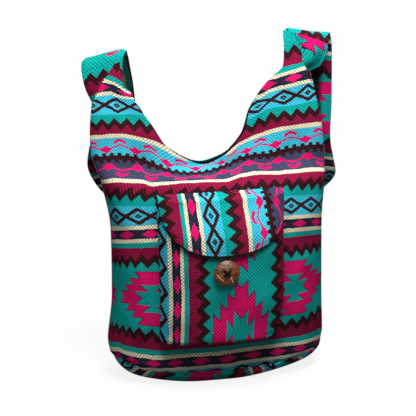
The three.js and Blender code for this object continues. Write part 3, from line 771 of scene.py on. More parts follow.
# %% Wall curves
half_width = smooth_curve([(0, 153.5), (45, 152.5), (100, 147.5), (117, 146.5), (207, 145), (269, 152),
                           (312, 158), (414, 142), (470, 128)])
front_depth = smooth_curve([(0, 62), (117, 69), (207, 64), (269, 52), (292, 14), (414, 10), (470, 10)])
back_depth = smooth_curve([(0, 62), (117, 69), (207, 64), (269, 48), (292, 8), (330, 4), (414, 5), (470, 5)])
lean = smooth_curve([(0, -2), (45, -2), (117, 0), (207, -0.7), (269, -4), (312, -11), (414, -18), (470, -22)])
front_rim = smooth_curve([(-1, 373), (-0.973, 385), (-0.941, 398), (-0.893, 410), (-0.846, 422),
                          (-0.815, 431), (-0.797, 430), (-0.789, 421), (-0.775, 411), (-0.745, 396),
                          (-0.676, 387), (-0.636, 375), (-0.5, 346.6), (-0.36, 313), (-0.1, 292),
                          (0.1, 303), (0.28, 332), (0.37, 365), (0.57, 400), (0.70, 413), (0.725, 416),
                          (0.776, 438), (0.827, 464), (0.89, 463), (0.917, 455), (0.933, 448),
                          (0.946, 437), (0.953, 420), (0.963, 402), (1, 392)])
back_rim = smooth_curve([(-1, 380), (-0.64, 374), (-0.5, 345), (-0.36, 313), (-0.1, 293), (0.1, 302.5),
                         (0.28, 329), (0.37, 361), (0.57, 395.5), (0.70, 408.5), (1, 411)])
# Heights at which the middles of some bands pass, as (place across, height) points for each level.
BAND_HEIGHTS = [
    (90.05, [(-139, 18), (-125, 14), (-104, 12), (-38, 10), (-4, 10), (25, 14), (54, 13), (104, 17),
             (140, 21)]),
    (73.85, [(-143, 40), (-135, 36), (-114, 31), (-83, 28), (-47, 28), (-17, 29), (43, 32), (134, 32)]),
    (47.3, [(-148, 71), (-134, 66), (-114, 63), (-95, 59), (0, 58), (97, 62), (120, 67), (140, 76)]),
    (-73.85, [(-104, 190), (92, 193)]),
    (-90.05, [(-104, 207), (95, 210)]),
    (-116.9, [(-147, 238), (-94, 234), (83, 239), (132, 239)]),
    (-147.8, [(-155, 271), (-120, 270), (-106, 268), (-96, 263), (-78, 264), (4, 267), (21, 271),
              (138, 274)]),
    (-179.0, [(-166, 302), (-135, 302), (-117, 300), (-102, 295), (-88, 289), (-77, 283), (-65, 278),
              (-35, 276), (9, 286), (25, 294), (45, 297), (64, 297), (85, 301), (118, 306), (139, 307)]),
    (-210.2, [(-169, 330), (-134, 331), (-116, 328), (-98, 323), (-83, 317), (-70, 309), (-63, 304),
              (-35, 294), (12, 303), (25, 313), (45, 322), (65, 328), (85, 333), (125, 337), (139, 338)]),
    (-241.1, [(-164, 359), (-103, 357), (-60, 342), (39, 347), (54, 355), (70, 361), (100, 364),
              (132, 370)]),
    (-267.95, [(-154, 385), (-143, 386), (-133, 382), (-115, 379), (51, 375), (68, 384), (93, 390),
               (123, 397)]),
    (-284.15, [(-149, 401), (-140, 398), (-131, 393), (-117, 384), (-60, 384), (68, 400), (93, 407),
               (116, 413)])]
# How far the cloth is shifted along its bands over the roof, where they dip and need more length.
roof_slack = smooth_curve([(-165, -28), (-108, -22), (-64, -19), (-8, -12), (44, -4), (130, -7)])
print("half width at the belly", round(float(half_width(np.array(117.0))), 1), "mm")

# %% Wall outline
ROUNDNESS = 2.4
PANEL_GAP = 0.15
SEAM_LOW = 27.0
SEAM_RISE = 26.0
BASE_FLAT = 0.76


def fullness(across):
    """How far an oval squared by ROUNDNESS stands out at a share of its half width."""
    return (1 - np.abs(across) ** ROUNDNESS).clip(0) ** (1 / ROUNDNESS)


def seam_height(across):
    """Where the upright wall starts to curl under: low along the front, higher towards both ends."""
    return SEAM_LOW + SEAM_RISE * across ** 4


def bowl(turn):
    """Share of the outline and of the seam height reached at a turn of the curl under the wall."""
    return BASE_FLAT + (1 - BASE_FLAT) * np.sin(turn), 1 - np.cos(turn)


def wall_y(x, z):
    """How far in front of the middle the front wall stands at a place."""
    return -PANEL_GAP - front_depth(z) * fullness((x - lean(z)) / half_width(z))


def even_turns(columns):
    """Shares of the half width from one side seam to the other, closer together near the seams."""
    swing = np.sin(np.linspace(-1, 1, columns) * math.pi / 2)
    return np.sign(swing) * np.abs(swing) ** (2 / ROUNDNESS)


print("base seam", SEAM_LOW, "mm up at the middle and", SEAM_LOW + SEAM_RISE, "mm at the ends")

# %% Wall map
FRONT = -1
BACK = 1
BELLY = 120.0
EYE_DROP = 0.25
BODY_MEDALLIONS = (-236.5, -100.5, 93.0)
OUT_OF_REACH = 60
FIGURE_SHIFT = 7.5
CROWDED = -121.0
CROWDING = 0.47
THREAD_LEAN = 0.11
# Spans, from where a change starts to where it is complete: left of the middle, then in height.
THREADS_LEAN = (60, 110)
CROWDING_ENDS = (150, 210)
MEDALLIONS_END = (240, 260)
ROOF_STARTS = (250, 295)


def cloth_level(points):
    """Distance across the bands: straight between the listed heights, and one to one beyond them.

    Height here is height as the eye above the horizon sees it: z less a quarter of the depth.
    """
    x, y, z = np.moveaxis(points, -1, 0)
    seen = z - EYE_DROP * np.abs(y)
    levels = [(level, smooth_curve(places)(x)) for level, places in BAND_HEIGHTS]
    v = levels[0][0] + levels[0][1] - seen
    for (level, height), (next_level, next_height) in zip(levels, levels[1:]):
        between = level + (next_level - level) * (seen - height) / (next_height - height)
        v = np.where(seen > height, between, v)
    level, height = levels[-1]
    return np.where(seen > height, level + height - seen, v)


def wall_map(points, flat, side):
    """Place on the flat cloth: the run round the belly low down, and straight across over the roof."""
    z = points[..., 2]
    belly = np.argmin(np.abs(z - BELLY), axis=0)
    profile = points[belly, np.arange(len(belly))]
    along = run_length(profile[None] * [1, 1, 0], 1)[0]
    along = along - along[len(along) // 2]
    if side == FRONT:
        # Left of the pocket the front is crowded into soft folds and its upright threads lean.
        drawn_in = THREAD_LEAN * (z - BELLY) * smoothstep(-along, *THREADS_LEAN)
        crowded = CROWDING * np.minimum(along - CROWDED, 0)
        along = along + (crowded + drawn_in) * (1 - smoothstep(z, *CROWDING_ENDS))
    round_belly = along + FIGURE_SHIFT
    over_roof = flat + roof_slack(flat)
    u = round_belly + (over_roof - round_belly) * smoothstep(z, *ROOF_STARTS)
    nearest = np.min([np.abs(along - middle) for middle in BODY_MEDALLIONS], axis=0)
    return grid(u, cloth_level(points), nearest + OUT_OF_REACH * smoothstep(z, *MEDALLIONS_END))


print("bands placed by", len(BAND_HEIGHTS), "levels")

# %% Wall cloth
CLOTH_THICKNESS = 1.8
TUCK = math.radians(72)
TUCK_ROWS = 9
POCKET_MIDDLE = -8.0
POCKET_HOLD = 0.85
HELD_HALF = 105
# Spans of the pocket's hold, beside it and in height, and of the calm along the rim and the side seams.
HELD_BESIDE = (0, 12)
HELD_FROM = (40, 60)
HELD_TO = (262, 275)
RIM_CALM = (0, 25)
SIDE_CALM = (0, 0.12)
SIDE_FLAT = (0, 0.04)
# Along the base seam runs a groove with a depth and a width. Each pucker has a length, a height and a start.
SEAM_GROOVE = (2.4, 6.0)
SEAM_PUCKERS = [(3.1, 0.9, 0.0), (4.7, 0.6, 1.0)]
PUCKERS_FADE = 8.0
# Each wave has a length, a direction, a height and a start.
WALL_WAVES = [(97, 0.25, 1.1, 0.4), (61, 1.3, 0.8, 2.1), (43, 2.3, 0.5, 0.9), (29, 0.7, 0.25, 4.0)]


def wall_grid(side, rim, depth, columns, rows):
    """A panel: columns from side seam to side seam, rows from the base seam to the rim, a little uneven."""
    across = even_turns(columns) * -side
    seam, high = seam_height(across), rim(across)
    reach, lift = bowl(np.linspace(TUCK, math.pi / 2, TUCK_ROWS, endpoint=False))
    upright = np.linspace(0, 1, rows - TUCK_ROWS)[:, None]
    z = np.concatenate([seam * lift[:, None], seam + (high - seam) * upright])
    reach = np.concatenate([reach, np.ones(rows - TUCK_ROWS)])[:, None]
    x = lean(z) + half_width(np.maximum(z, seam)) * across * reach
    y = side * (PANEL_GAP + depth(np.maximum(z, seam)) * fullness(across) * reach)
    points = grid(x, y, z)
    flat = half_width(z) * across * -side
    up = run_length(points, 0)
    from_side = 1 - np.abs(across)
    bulge = rumple(flat, z, WALL_WAVES) * smoothstep(from_side, *SIDE_CALM)
    bulge = bulge * smoothstep(high - z, *RIM_CALM)
    if side == FRONT:
        # The pocket holds the cloth behind it nearly flat.
        held = POCKET_HOLD * smoothstep(HELD_HALF - np.abs(x - POCKET_MIDDLE), *HELD_BESIDE)
        bulge = bulge * (1 - held * smoothstep(z, *HELD_FROM) * (1 - smoothstep(z, *HELD_TO)))
    puckers = sum(height * np.sin(flat / length + start) for length, height, start in SEAM_PUCKERS)
    groove = -SEAM_GROOVE[0] * hump(up, 0, SEAM_GROOVE[1])
    relief = (bulge + puckers * np.exp(-up / PUCKERS_FADE) + groove) * smoothstep(from_side, *SIDE_FLAT)
    return push_out(points, relief), wall_map(points, flat, side)


front_points, front_map = wall_grid(FRONT, front_rim, front_depth, columns=181, rows=130)
front = cloth_piece("front_cloth", front_points, [(0, front_map)], BANDED, "front_panel", CLOTH_THICKNESS)
back_points, back_map = wall_grid(BACK, back_rim, back_depth, columns=181, rows=120)
back = cloth_piece("back_cloth", back_points, [(0, back_map)], BANDED, "back_panel", CLOTH_THICKNESS)

# %% [markdown]
# ## The base
#
# The base is an oval cut with its bands running front to back. It curls up all round to meet the walls, its
# ends lift a little off the floor, and its edge is eased in, which leaves small puckers along the seam. Rings
# that shrink to the middle follow such a bowl better than straight rows would.

# %% Base cloth
BASE_BAND_MIDDLE = -38.0
BASE_MEDALLION = -97.0
BASE_POLE = 0.01
BASE_PUCKERS = 31
BASE_PUCKER = 0.9
BASE_PUCKERS_FADE = 7.0
BASE_GROOVE = (2.0, 5.0)
FLOOR_GAP = 0.05
LIFT_LEFT = 4.0
LIFT_RIGHT = 9.0
LEFT_LIFTED = (40, 115)
RIGHT_LIFTED = (10, 115)


def base_grid(turns, rings):
    """A shallow bowl: from the wall seam it curls down to a flat oval, ring by ring to the middle."""
    swing = np.linspace(-math.pi, math.pi, turns, endpoint=False)
    s = np.sin(swing)
    across = np.sign(s) * np.abs(s) ** (2 / ROUNDNESS)
    depth = -np.sign(np.cos(swing)) * fullness(across)
    seam = seam_height(across)
    rim_x, rim_y = half_width(seam) * across, front_depth(seam) * depth
    rim_reach = np.hypot(rim_x, rim_y)
    reach, lift = bowl(np.linspace(TUCK, 0, rings // 2))
    inner = np.linspace(BASE_FLAT, BASE_POLE, rings - rings // 2 + 1)[1:]
    reach = np.concatenate([reach, inner])[:, None]
    lift = np.concatenate([lift, np.zeros(len(inner))])[:, None]
    x = rim_x * reach
    off_floor = LIFT_RIGHT * smoothstep(x, *RIGHT_LIFTED) + LIFT_LEFT * smoothstep(-x, *LEFT_LIFTED)
    points = grid(x, rim_y * reach, seam * lift + FLOOR_GAP + off_floor * (1 - lift / lift[0]))
    run = run_length(points, 0)
    radius = (run[-1] - run) / np.maximum(rim_reach, 1)
    u, v = rim_y * radius, rim_x * radius - BASE_BAND_MIDDLE
    dip = -BASE_GROOVE[0] * hump(run, 0, BASE_GROOVE[1])
    pucker = BASE_PUCKER * np.sin(swing * BASE_PUCKERS + 1.0) * np.exp(-run / BASE_PUCKERS_FADE)
    outward = grid(rim_x, rim_y, 0.0) / rim_reach[:, None]
    points = points + outward * ((dip + pucker) * np.minimum(lift * 2, 1))[..., None]
    return points[::-1], grid(u, v, np.abs(u - BASE_MEDALLION))[::-1]


base_points, base_map = base_grid(turns=200, rings=44)
base = cloth_piece("base_cloth", base_points, [(0, base_map)], BANDED, "base_panel", CLOTH_THICKNESS,
                   closed=True, rounded=False)

# %% [markdown]
# ## The linings
#
# Inside, a thin dark cotton follows the same shape two millimetres in. It stops a little below the front rim
# and reaches the back one, so the inside looks dark from the front. Moving the walls' own grids inward keeps
# the two cloths apart everywhere, and its map is that of the wall around it.

# %% Lining cloth
LINING_DEPTH = 2.2
LINING_THICKNESS = 0.6
FIRST_LINED_ROW = TUCK_ROWS - 3
FRONT_LINED_ROWS = 112
BACK_LINED_ROWS = 120
BASE_LINING_SHARE = [0.98, 0.96, 1.0]

for node, points, flat, last in (("front_lining", front_points, front_map, FRONT_LINED_ROWS),
                                 ("back_lining", back_points, back_map, BACK_LINED_ROWS)):
    inner = push_out(points, -LINING_DEPTH)[FIRST_LINED_ROW:last, ::-1]
    chart = flat[FIRST_LINED_ROW:last, ::-1]
    lining = cloth_piece(node + "_cloth", inner, [(0, chart)], LINED, node, LINING_THICKNESS, rounded=False)
base_inner = base_points * BASE_LINING_SHARE + [0, 0, LINING_DEPTH]
base_lining = cloth_piece("base_lining_cloth", base_inner[:, ::-1], [(0, base_map[:, ::-1])], LINED,
                          "base_lining", LINING_THICKNESS, closed=True, rounded=False)

# %% [markdown]
# ## The pocket
#
# The pocket is a flat cut eased in round its lower edge, so it stands out like a shallow box with soft
# corners. Its bands run upright. Along the lower right corner the extra cloth is gathered into small tucks.
# Built as a height above the wall, it follows the belly by itself.

# %% Pocket depth
POCKET_TOP = 254.0
POCKET_BOTTOM = 64.5
POCKET_CORNER = 10.0
POCKET_PROUD = 25.5
POCKET_MOUTH_PROUD = 10.5
POCKET_SQUARENESS = 5
SHALLOWER_FROM = 207


def pocket_round(z):
    """Share of its depth that the pocket's rounded lower edge has reached at a height: a quarter circle."""
    low = np.clip((z - POCKET_BOTTOM) / POCKET_CORNER, 0, 1)
    return np.sqrt(1 - (1 - low) ** 2)


def pocket_lift(share, z):
    """How far the pocket stands off the wall at a share of its half width and a height."""
    proud = POCKET_PROUD + (POCKET_MOUTH_PROUD - POCKET_PROUD) * smoothstep(z, SHALLOWER_FROM, POCKET_TOP)
    return np.sqrt((1 - np.abs(share) ** POCKET_SQUARENESS).clip(0)) * pocket_round(z) * proud


print("pocket stands off by", POCKET_PROUD, "mm, and at its mouth by", POCKET_MOUTH_PROUD)

# %% Pocket map
POCKET_BAND_MIDDLE = 11.0
POCKET_MEDALLION = 87.4
MEDALLION_SPACING = 146.4
POCKET_FIGURES = 91.0
POCKET_LOOSE = 0.12
LOOSE_TO = (56, 66)
SIDE_SHARE = 0.2
# Places across the pocket and the bands found there: its middle is pulled wide, its left side is not.
POCKET_PLACES = (-130, -90, -70, -51.1, -1.9, 48.4, 60)
POCKET_BANDS = (-132, -90, -66, -47.3, 0, 47.3, 58.5)


def pocket_map(x, z, row):
    """Place on the flat cloth: across the bands from the middle row's run, along them from the height."""
    v_row = run_length(row[None] * [1, SIDE_SHARE, 1], 1)[0]
    v = np.interp(x - lean(z), row[:, 0] - lean(row[:, 2]), v_row)
    v = v - np.interp(POCKET_BAND_MIDDLE, row[:, 0], v_row)
    v = np.interp(v, POCKET_PLACES, POCKET_BANDS)
    # The teal middle with its medallion and zigzags hangs looser than the bands beside it.
    loose = 1 + POCKET_LOOSE * (1 - smoothstep(np.abs(v), *LOOSE_TO))
    half_way = MEDALLION_SPACING / 2
    off = np.abs((z - POCKET_MEDALLION + half_way) % MEDALLION_SPACING - half_way)
    return grid((z - POCKET_BOTTOM) / loose + POCKET_FIGURES, v, off / loose)


print("pocket medallions", MEDALLION_SPACING, "mm apart")

# %% Pocket cloth
POCKET_HALF = 82.5
POCKET_GAP = 0.5
POCKET_THICKNESS = 1.6
OUTLINE_STEPS = 3000
POCKET_DRAWN_IN = 7.0
TUCK_HEIGHT = 1.3
TUCK_RUN = 1.25
# Spans in the share of the half width, in height and from the bottom.
DRAWN_IN_BESIDE = (0.3, 1.0)
DRAWN_IN_TO = (66, 125)
TUCKS_BESIDE = (0.6, 0.98)
TUCKS_TO = (75, 120)
TUCKS_START = 5
WAVES_START = 24
WAVES_BESIDE = (0, 0.15)
POCKET_WAVES = [(71, 1.1, 0.7, 0.3), (47, 2.2, 0.5, 1.7), (31, 0.4, 0.3, 3.1)]


def pocket_grid(columns, rows):
    """A box with soft corners: columns evenly spaced along its outline, rows from the bottom seam up."""
    sweep = np.linspace(math.pi, 0, OUTLINE_STEPS)
    side = np.sign(np.cos(sweep)) * np.abs(np.cos(sweep)) ** (2 / POCKET_SQUARENESS)
    outline = grid(side * POCKET_HALF, np.sin(sweep) * POCKET_PROUD)
    run = run_length(outline[None], 1)[0]
    share = np.interp(np.linspace(0, run[-1], columns), run, outline[:, 0]) / POCKET_HALF
    curl = np.linspace(0, math.pi / 2, rows // 4)
    bottom = POCKET_BOTTOM + POCKET_CORNER * (1 - np.cos(curl))
    straight = np.linspace(POCKET_BOTTOM + POCKET_CORNER, POCKET_TOP, rows - rows // 4 + 1)[1:]
    z = np.broadcast_to(np.concatenate([bottom, straight])[:, None], (rows, columns))
    narrow = 1 - POCKET_CORNER * (1 - pocket_round(z)) / POCKET_HALF
    drawn_in = POCKET_DRAWN_IN * smoothstep(share, *DRAWN_IN_BESIDE) * (1 - smoothstep(z, *DRAWN_IN_TO))
    x = POCKET_MIDDLE + lean(z) + POCKET_HALF * share * narrow - drawn_in
    points = grid(x, wall_y(x, z) - POCKET_GAP - pocket_lift(share, z), z)
    flat = pocket_map(x, z, points[rows // 2])
    up = run_length(points, 0)
    above = z - POCKET_BOTTOM
    corner = smoothstep(share, *TUCKS_BESIDE) * (1 - smoothstep(z, *TUCKS_TO))
    tucks = TUCK_HEIGHT * np.sin(up / TUCK_RUN) * corner * smoothstep(above, 0, TUCKS_START)
    inside = smoothstep(1 - np.abs(share), *WAVES_BESIDE) * smoothstep(above, 0, WAVES_START)
    soft = rumple(flat[..., 1], up, POCKET_WAVES) * inside
    return push_out(points, tucks + soft), flat


pocket_points, pocket_chart = pocket_grid(columns=150, rows=121)
pocket = cloth_piece("pocket_cloth", pocket_points, [(0, pocket_chart)], BANDED, "pocket_pouch",
                     POCKET_THICKNESS)

# %% [markdown]
# ## The flap
#
# The flap is a D-shaped cut with a thin facing behind it, sewn to the wall along its straight edge. It bends
# over the mouth of the pocket and lies on it. Its lowest point is a little left of the middle. It is laid on
# the pocket by the pocket's own height, so it can't sink into it.

# %% Flap shape
FLAP_TOP = 264.0
FLAP_BEND = 256.0
FLAP_DROP = 74.0
FLAP_SIDE_DROP = 17.0
FLAP_SKEW = -0.06
FLAP_ASIDE = 2.5
FLAP_HALF = 82.5
FLAP_TILT = 0.02
FLAP_ROUNDNESS = 2.3
FLAP_CLEAR = 2.8


def flap_place(share, z, proud):
    """A place on the flap: the wall near the seam, the pocket's face and a little more below it."""
    aside = FLAP_ASIDE + FLAP_HALF * share
    x = POCKET_MIDDLE + lean(z) + aside
    bend = 1 - smoothstep(z, FLAP_BEND, FLAP_TOP)
    stand = pocket_lift(np.clip(aside / POCKET_HALF, -1, 1), np.minimum(z, POCKET_TOP)) + FLAP_CLEAR
    return grid(x, wall_y(x, z) - POCKET_GAP - stand * bend - proud, z + FLAP_TILT * aside)


def flap_drop(share):
    """Length of the flap below its seam: a rounded D with its lowest point left of the middle."""
    aside = (share - FLAP_SKEW) / np.where(share < FLAP_SKEW, 1 + FLAP_SKEW, 1 - FLAP_SKEW)
    round_off = np.sqrt((1 - np.abs(aside) ** FLAP_ROUNDNESS).clip(0))
    return FLAP_SIDE_DROP + (FLAP_DROP - FLAP_SIDE_DROP) * round_off


print("flap hangs", FLAP_DROP, "mm below its seam")

# %% Flap cover and facing
FLAP_BAND = 128.65
FLAP_LEVEL = 224.0
FLAP_LEAN = 0.055
FLAP_EASE = 3.0
EASE_STARTS = (-72, -55)
EASE_ENDS = (-28, 14)
FLAP_FIGURES = 4.5
NO_MEDALLION = 90.0
COVER_THICKNESS = 2.2
COVER_PROUD = COVER_THICKNESS + 0.9
FACING_THICKNESS = 0.7
FACING_PROUD = 0.8
# The facing reaches past the cover's edge, so a dark strip of it shows below the flap: partly the facing's
# own edge, partly a painted shadow in the gap beneath.
FACING_SHADOW_INSET = -3.4


def flap_grid(columns, rows, inset, proud):
    """The flap's cut: columns closer together near its sides, rows from its edge up to the seam."""
    share = np.sin(np.linspace(-math.pi / 2, math.pi / 2, columns)) * (1 - max(inset, 0) / FLAP_HALF)
    drop = flap_drop(share) - inset
    z = FLAP_TOP - drop * (1 - np.linspace(0, 1, rows)[:, None])
    points = flap_place(share, z, proud)
    x = points[..., 0]
    u = run_length(points, 0)
    eased = FLAP_EASE * smoothstep(x, *EASE_STARTS) * (1 - smoothstep(x, *EASE_ENDS))
    v = FLAP_BAND + x - (FLAP_LEVEL - z) * FLAP_LEAN + eased
    return points, grid(u - u[-1] + FLAP_TOP + FLAP_FIGURES, v, NO_MEDALLION)


flap_points, flap_map = flap_grid(columns=121, rows=61, inset=0.0, proud=COVER_PROUD)
flap = cloth_piece("flap_cloth", flap_points, [(0, flap_map)], BANDED, "flap_cover", COVER_THICKNESS)
# The facing's dark strip below the flap's edge is partly painted shadow.
facing_points, facing_map = flap_grid(columns=81, rows=41, inset=FACING_SHADOW_INSET, proud=FACING_PROUD)
facing = cloth_piece("flap_facing_cloth", facing_points, [(0, facing_map)], LINED, "flap_facing",
                     FACING_THICKNESS, rounded=False)

# %% [markdown]
# ## The strap
#
# The strap is one long band. On each side it comes up out of the horn, folds over to the back and hangs in a
# wide loop behind the bag. Each row of the table gives the band's inner edge, its outer edge, and how far
# the band bows between them, from the right horn round to the left one. On the right the band opens like a
# cone before it folds. A simulated strap would find other folds, so the table sets them.
#
# Seen from the front, the strap shows its right side up to the folds and its wrong side where it hangs
# behind them, in deeper shade, which is painted into the wrong side's maps. So each side has maps of its own.

# %% Strap shape
STRAP_THICKNESS = 2.4
STRAP_ROWS = 480
STRAP_COLUMNS = 49
STRAP_WAVES = [(83, 0.4, 0.8, 0.7), (47, 1.2, 0.5, 2.0)]
STRAP_WIDTH = 60
CONE_BOW = 2.5
CONE_EDGE = 0.32
CREASE_DEPTH = 1.5
CREASE_WIDTH = 2.2
# The corners of the left fold: how far they droop, over what share of the width, and how far along the band.
OUTER_DROOP = 4.0
INNER_DROOP = 3.0
OUTER_CORNER = (0.82, 1.0)
INNER_CORNER = (0.86, 1.0)
DROOP_ASIDE = 0.35
DROOP_LENGTH = 14
STRAP = np.array([
    # inner x, y, z, outer x, y, z, bow
    (93, 2, 368, 117, 2, 364, 0), (91, 1, 400, 121, 1, 396, 0), (91, 0, 424, 126, -1, 410, 3),
    (91.5, -1, 442, 138, -2, 417, 8), (92, -1, 455, 145.5, -3, 433, 7),
    (93.5, -1, 463, 148.5, -2, 445.5, 2), (94, 4, 465, 152, 3, 455, 1), (93, 10, 464, 155, 10, 459.5, 0),
    (95, 16, 460, 157, 16, 457, 0), (97, 20, 449, 160, 20, 447, 0), (98.5, 20, 420, 162, 20.5, 418, 1),
    (100, 20.5, 367, 163.5, 21, 367, 1), (102, 23, 315, 165, 22, 310, 1), (107, 33, 290, 174, 33, 285, 2),
    (112, 46, 268, 181, 43, 260, 2), (104, 53, 246, 167, 70, 229, 2), (66, 66, 226, 98, 104, 197, 1),
    (0, 75, 212, 0, 124.5, 176.5, 0), (-64, 67, 229, -95, 104, 200, 1), (-88, 58, 248, -138, 82, 229, 2),
    (-98, 50, 272, -163, 53, 263, 2), (-106, 36, 294, -171.5, 37, 286, 2),
    (-107, 24, 316, -169.5, 24, 311, 1), (-107, 20, 345, -163, 20, 340, 1),
    (-108, 19.5, 372, -160, 19.5, 366, 0), (-110, 19.5, 395, -165, 19.5, 385, 0),
    (-113.5, 19.5, 418, -173, 19.5, 408, 0), (-116.5, 17, 435.5, -177, 17, 423, 0),
    (-119, 9, 443, -178, 9, 430.5, 0), (-122.5, 2, 438, -178.5, 1.5, 424.5, 1),
    (-125, -1, 425, -177, -1, 410, 2), (-126, 0, 407, -173.5, -1, 393, 2),
    (-127, 1, 390, -165, 0, 372, 1), (-129, 2, 350, -160, 2, 342, 0)], float)
RIGHT_CREASE, RIGHT_BACK, MIDDLE_BACK, LEFT_TURN, LEFT_CROWN = 5, 8, 17, 24, 27


def strap_grid():
    """The band: edges smoothed through the table, straight across between them, plus the bow.

    On the right the bow lies in the outer two thirds, where the band opens like a cone. The outer corner of
    the left fold droops, and a shallow groove follows the crease of the cone.
    """
    middle = (STRAP[:, :3] + STRAP[:, 3:6]) / 2
    knots = run_length(middle[None], 1)[0]
    at = np.linspace(0, knots[-1], STRAP_ROWS)
    rows = cubics(knots, STRAP, np.gradient(STRAP, knots, axis=0), at)
    inner, outer, bow = rows[:, None, :3], rows[:, None, 3:6], rows[:, 6:7]
    s = np.linspace(0, 1, STRAP_COLUMNS)
    arch = np.sin(np.clip((s - CONE_EDGE) / (1 - CONE_EDGE), 0, 1) * math.pi) ** 2
    groove = CREASE_DEPTH * hump(at, knots[RIGHT_CREASE], CREASE_WIDTH)[:, None]
    stand = bow * np.where(bow > CONE_BOW, arch, 4 * s * (1 - s)) - groove
    points = push_out(inner + (outer - inner) * s[:, None], stand)
    near_left_fold = hump(at, knots[LEFT_CROWN + 1], DROOP_LENGTH)[:, None]
    droop = OUTER_DROOP * smoothstep(s, *OUTER_CORNER) ** 2 * near_left_fold
    droop_inside = INNER_DROOP * smoothstep(1 - s, *INNER_CORNER) ** 2 * near_left_fold
    points = points - grid(-DROOP_ASIDE * droop, 0.0, droop + droop_inside)
    ride = rumple(at[:, None], s * STRAP_WIDTH, STRAP_WAVES)
    marks = (RIGHT_CREASE, RIGHT_BACK, MIDDLE_BACK, LEFT_TURN, LEFT_CROWN)
    return push_out(points, ride), at, [int(np.searchsorted(at, knots[row])) for row in marks]


strap_points, strap_run, strap_marks = strap_grid()
crease, right_back, middle_back, left_turn, left_crown = strap_marks
before_crease = crease - 1
strap_x, strap_z = strap_points[..., 0], strap_points[..., 2]
strap_across = run_length(strap_points, 1)
strap_along = run_length(strap_points, 0)
run = strap_run[:, None]
middle_z = strap_z[:, STRAP_COLUMNS // 2]
print("strap of", round(strap_run[-1]), "mm with folds at rows", strap_marks)

# %% Maps of the right fold
CONE_PLACE = (126.7, 434.7)
CONE_TURN = math.radians(30)
CONE_FIGURES = 21
CONE_BAND = 35
CONE_MEDALLION = 10.8
CONE_FOLDED_AWAY = 10
CONE_STRETCH = (1.04, 1.08)
CONE_TAKEN_UP = 0.12
# Painted shade: the cone keeps this share of its colour, as if in shade.
CONE_PAINTED_SHADE = 0.85
CROWN_BAND = 51.5
CROWN_FIGURES = -33.3
CROWN_DIP = 14
CROWN_DIP_ENDS = (6, 20)
CROWN_STRETCH = 0.75


def cone_map():
    """Bands turned by thirty degrees, with part of a medallion whose middle is folded away, dimmed by painted
    shade.
    """
    right, up = strap_x - CONE_PLACE[0], strap_z - CONE_PLACE[1]
    beside = right * math.cos(CONE_TURN) - up * math.sin(CONE_TURN)
    above = right * math.sin(CONE_TURN) + up * math.cos(CONE_TURN)
    u = CONE_FIGURES + CONE_STRETCH[0] * beside
    v = CONE_BAND - CONE_STRETCH[1] * above
    v = np.where(v > CONE_BAND, CONE_BAND + CONE_TAKEN_UP * (v - CONE_BAND), v)
    return grid(u, v, np.abs(u - CONE_MEDALLION) + CONE_FOLDED_AWAY, CONE_PAINTED_SHADE)


def crown_map():
    """A zigzag whose teeth point up from the crease, and plain teal above it."""
    above = strap_along - strap_along[before_crease]
    dip = CROWN_DIP * (1 - smoothstep(strap_across, *CROWN_DIP_ENDS))
    v = CROWN_BAND - CROWN_STRETCH * above - dip
    return grid(strap_across + CROWN_FIGURES, v, NO_MEDALLION)


cone, crown = cone_map(), crown_map()
print("right fold: bands turned by", round(math.degrees(CONE_TURN)), "degrees")

# %% Maps of the legs
RIGHT_MEDALLION = 62.0
# Heights on the legs: where a leg's teal band lies, and where it turns plain towards the fold above.
RIGHT_TEAL = 357.0
RIGHT_PLAIN = 384.0
LEFT_TEAL = 339.0
LEFT_PLAIN = 366.0


def row_at(first, last, height):
    """The row of the strap nearest to a height, between two others."""
    return first + int(np.argmin(np.abs(middle_z[first:last] - height)))


def leg_map(first, last, height, centre):
    """Bands straight across a leg: the run along it, counted from the row at a height, and its width."""
    start = row_at(first, last, height)
    return grid(strap_across, run - strap_run[start], np.abs(strap_across - centre))


def run_on(leg, beyond, fold, start):
    """A leg's map drawn out as plain teal from a row to a fold, where it meets the map beyond."""
    gap = beyond[fold, :, 1] - leg[fold, :, 1]
    share = 1 - smoothstep(np.abs(run - strap_run[fold]), 0, abs(strap_run[start] - strap_run[fold]))
    plain = OUT_OF_REACH * smoothstep(strap_z, middle_z[start] - 2, middle_z[start] + 4)
    return grid(leg[..., 0], leg[..., 1] + gap * share, leg[..., 2] + plain)


right_leg = leg_map(right_back, middle_back, RIGHT_TEAL, RIGHT_MEDALLION)
left_leg = leg_map(middle_back, left_turn, LEFT_TEAL, NO_MEDALLION)
right_plain = row_at(right_back, middle_back, RIGHT_PLAIN)
left_plain = row_at(middle_back, left_crown, LEFT_PLAIN)
print("legs turn plain at rows", right_plain, "and", left_plain)

# %% Map of the left fold
LEFT_ZIGZAG = 408.0
# The pink corner on the left: how far past the fold it lies, its slant, its half height and its place.
CORNER_PAST_FOLD = 16.0
CORNER_SLANT = 4.5
CORNER_HALF = 3.0
CORNER_ACROSS = (0.28, 0.2)
CORNER_EDGE = (0.4, 0.5)
CORNER_NEARNESS = 76
# Painted shade: the left fold keeps a share of its colour, less towards its outer edge below the fold, over
# these spans.
LEFT_PAINTED_SHADE_LEVEL = 0.82
LEFT_SHADE = 0.45
LEFT_SHADE_ACROSS = (0.72, 0.95)
LEFT_SHADE_ALONG = (36, 60)


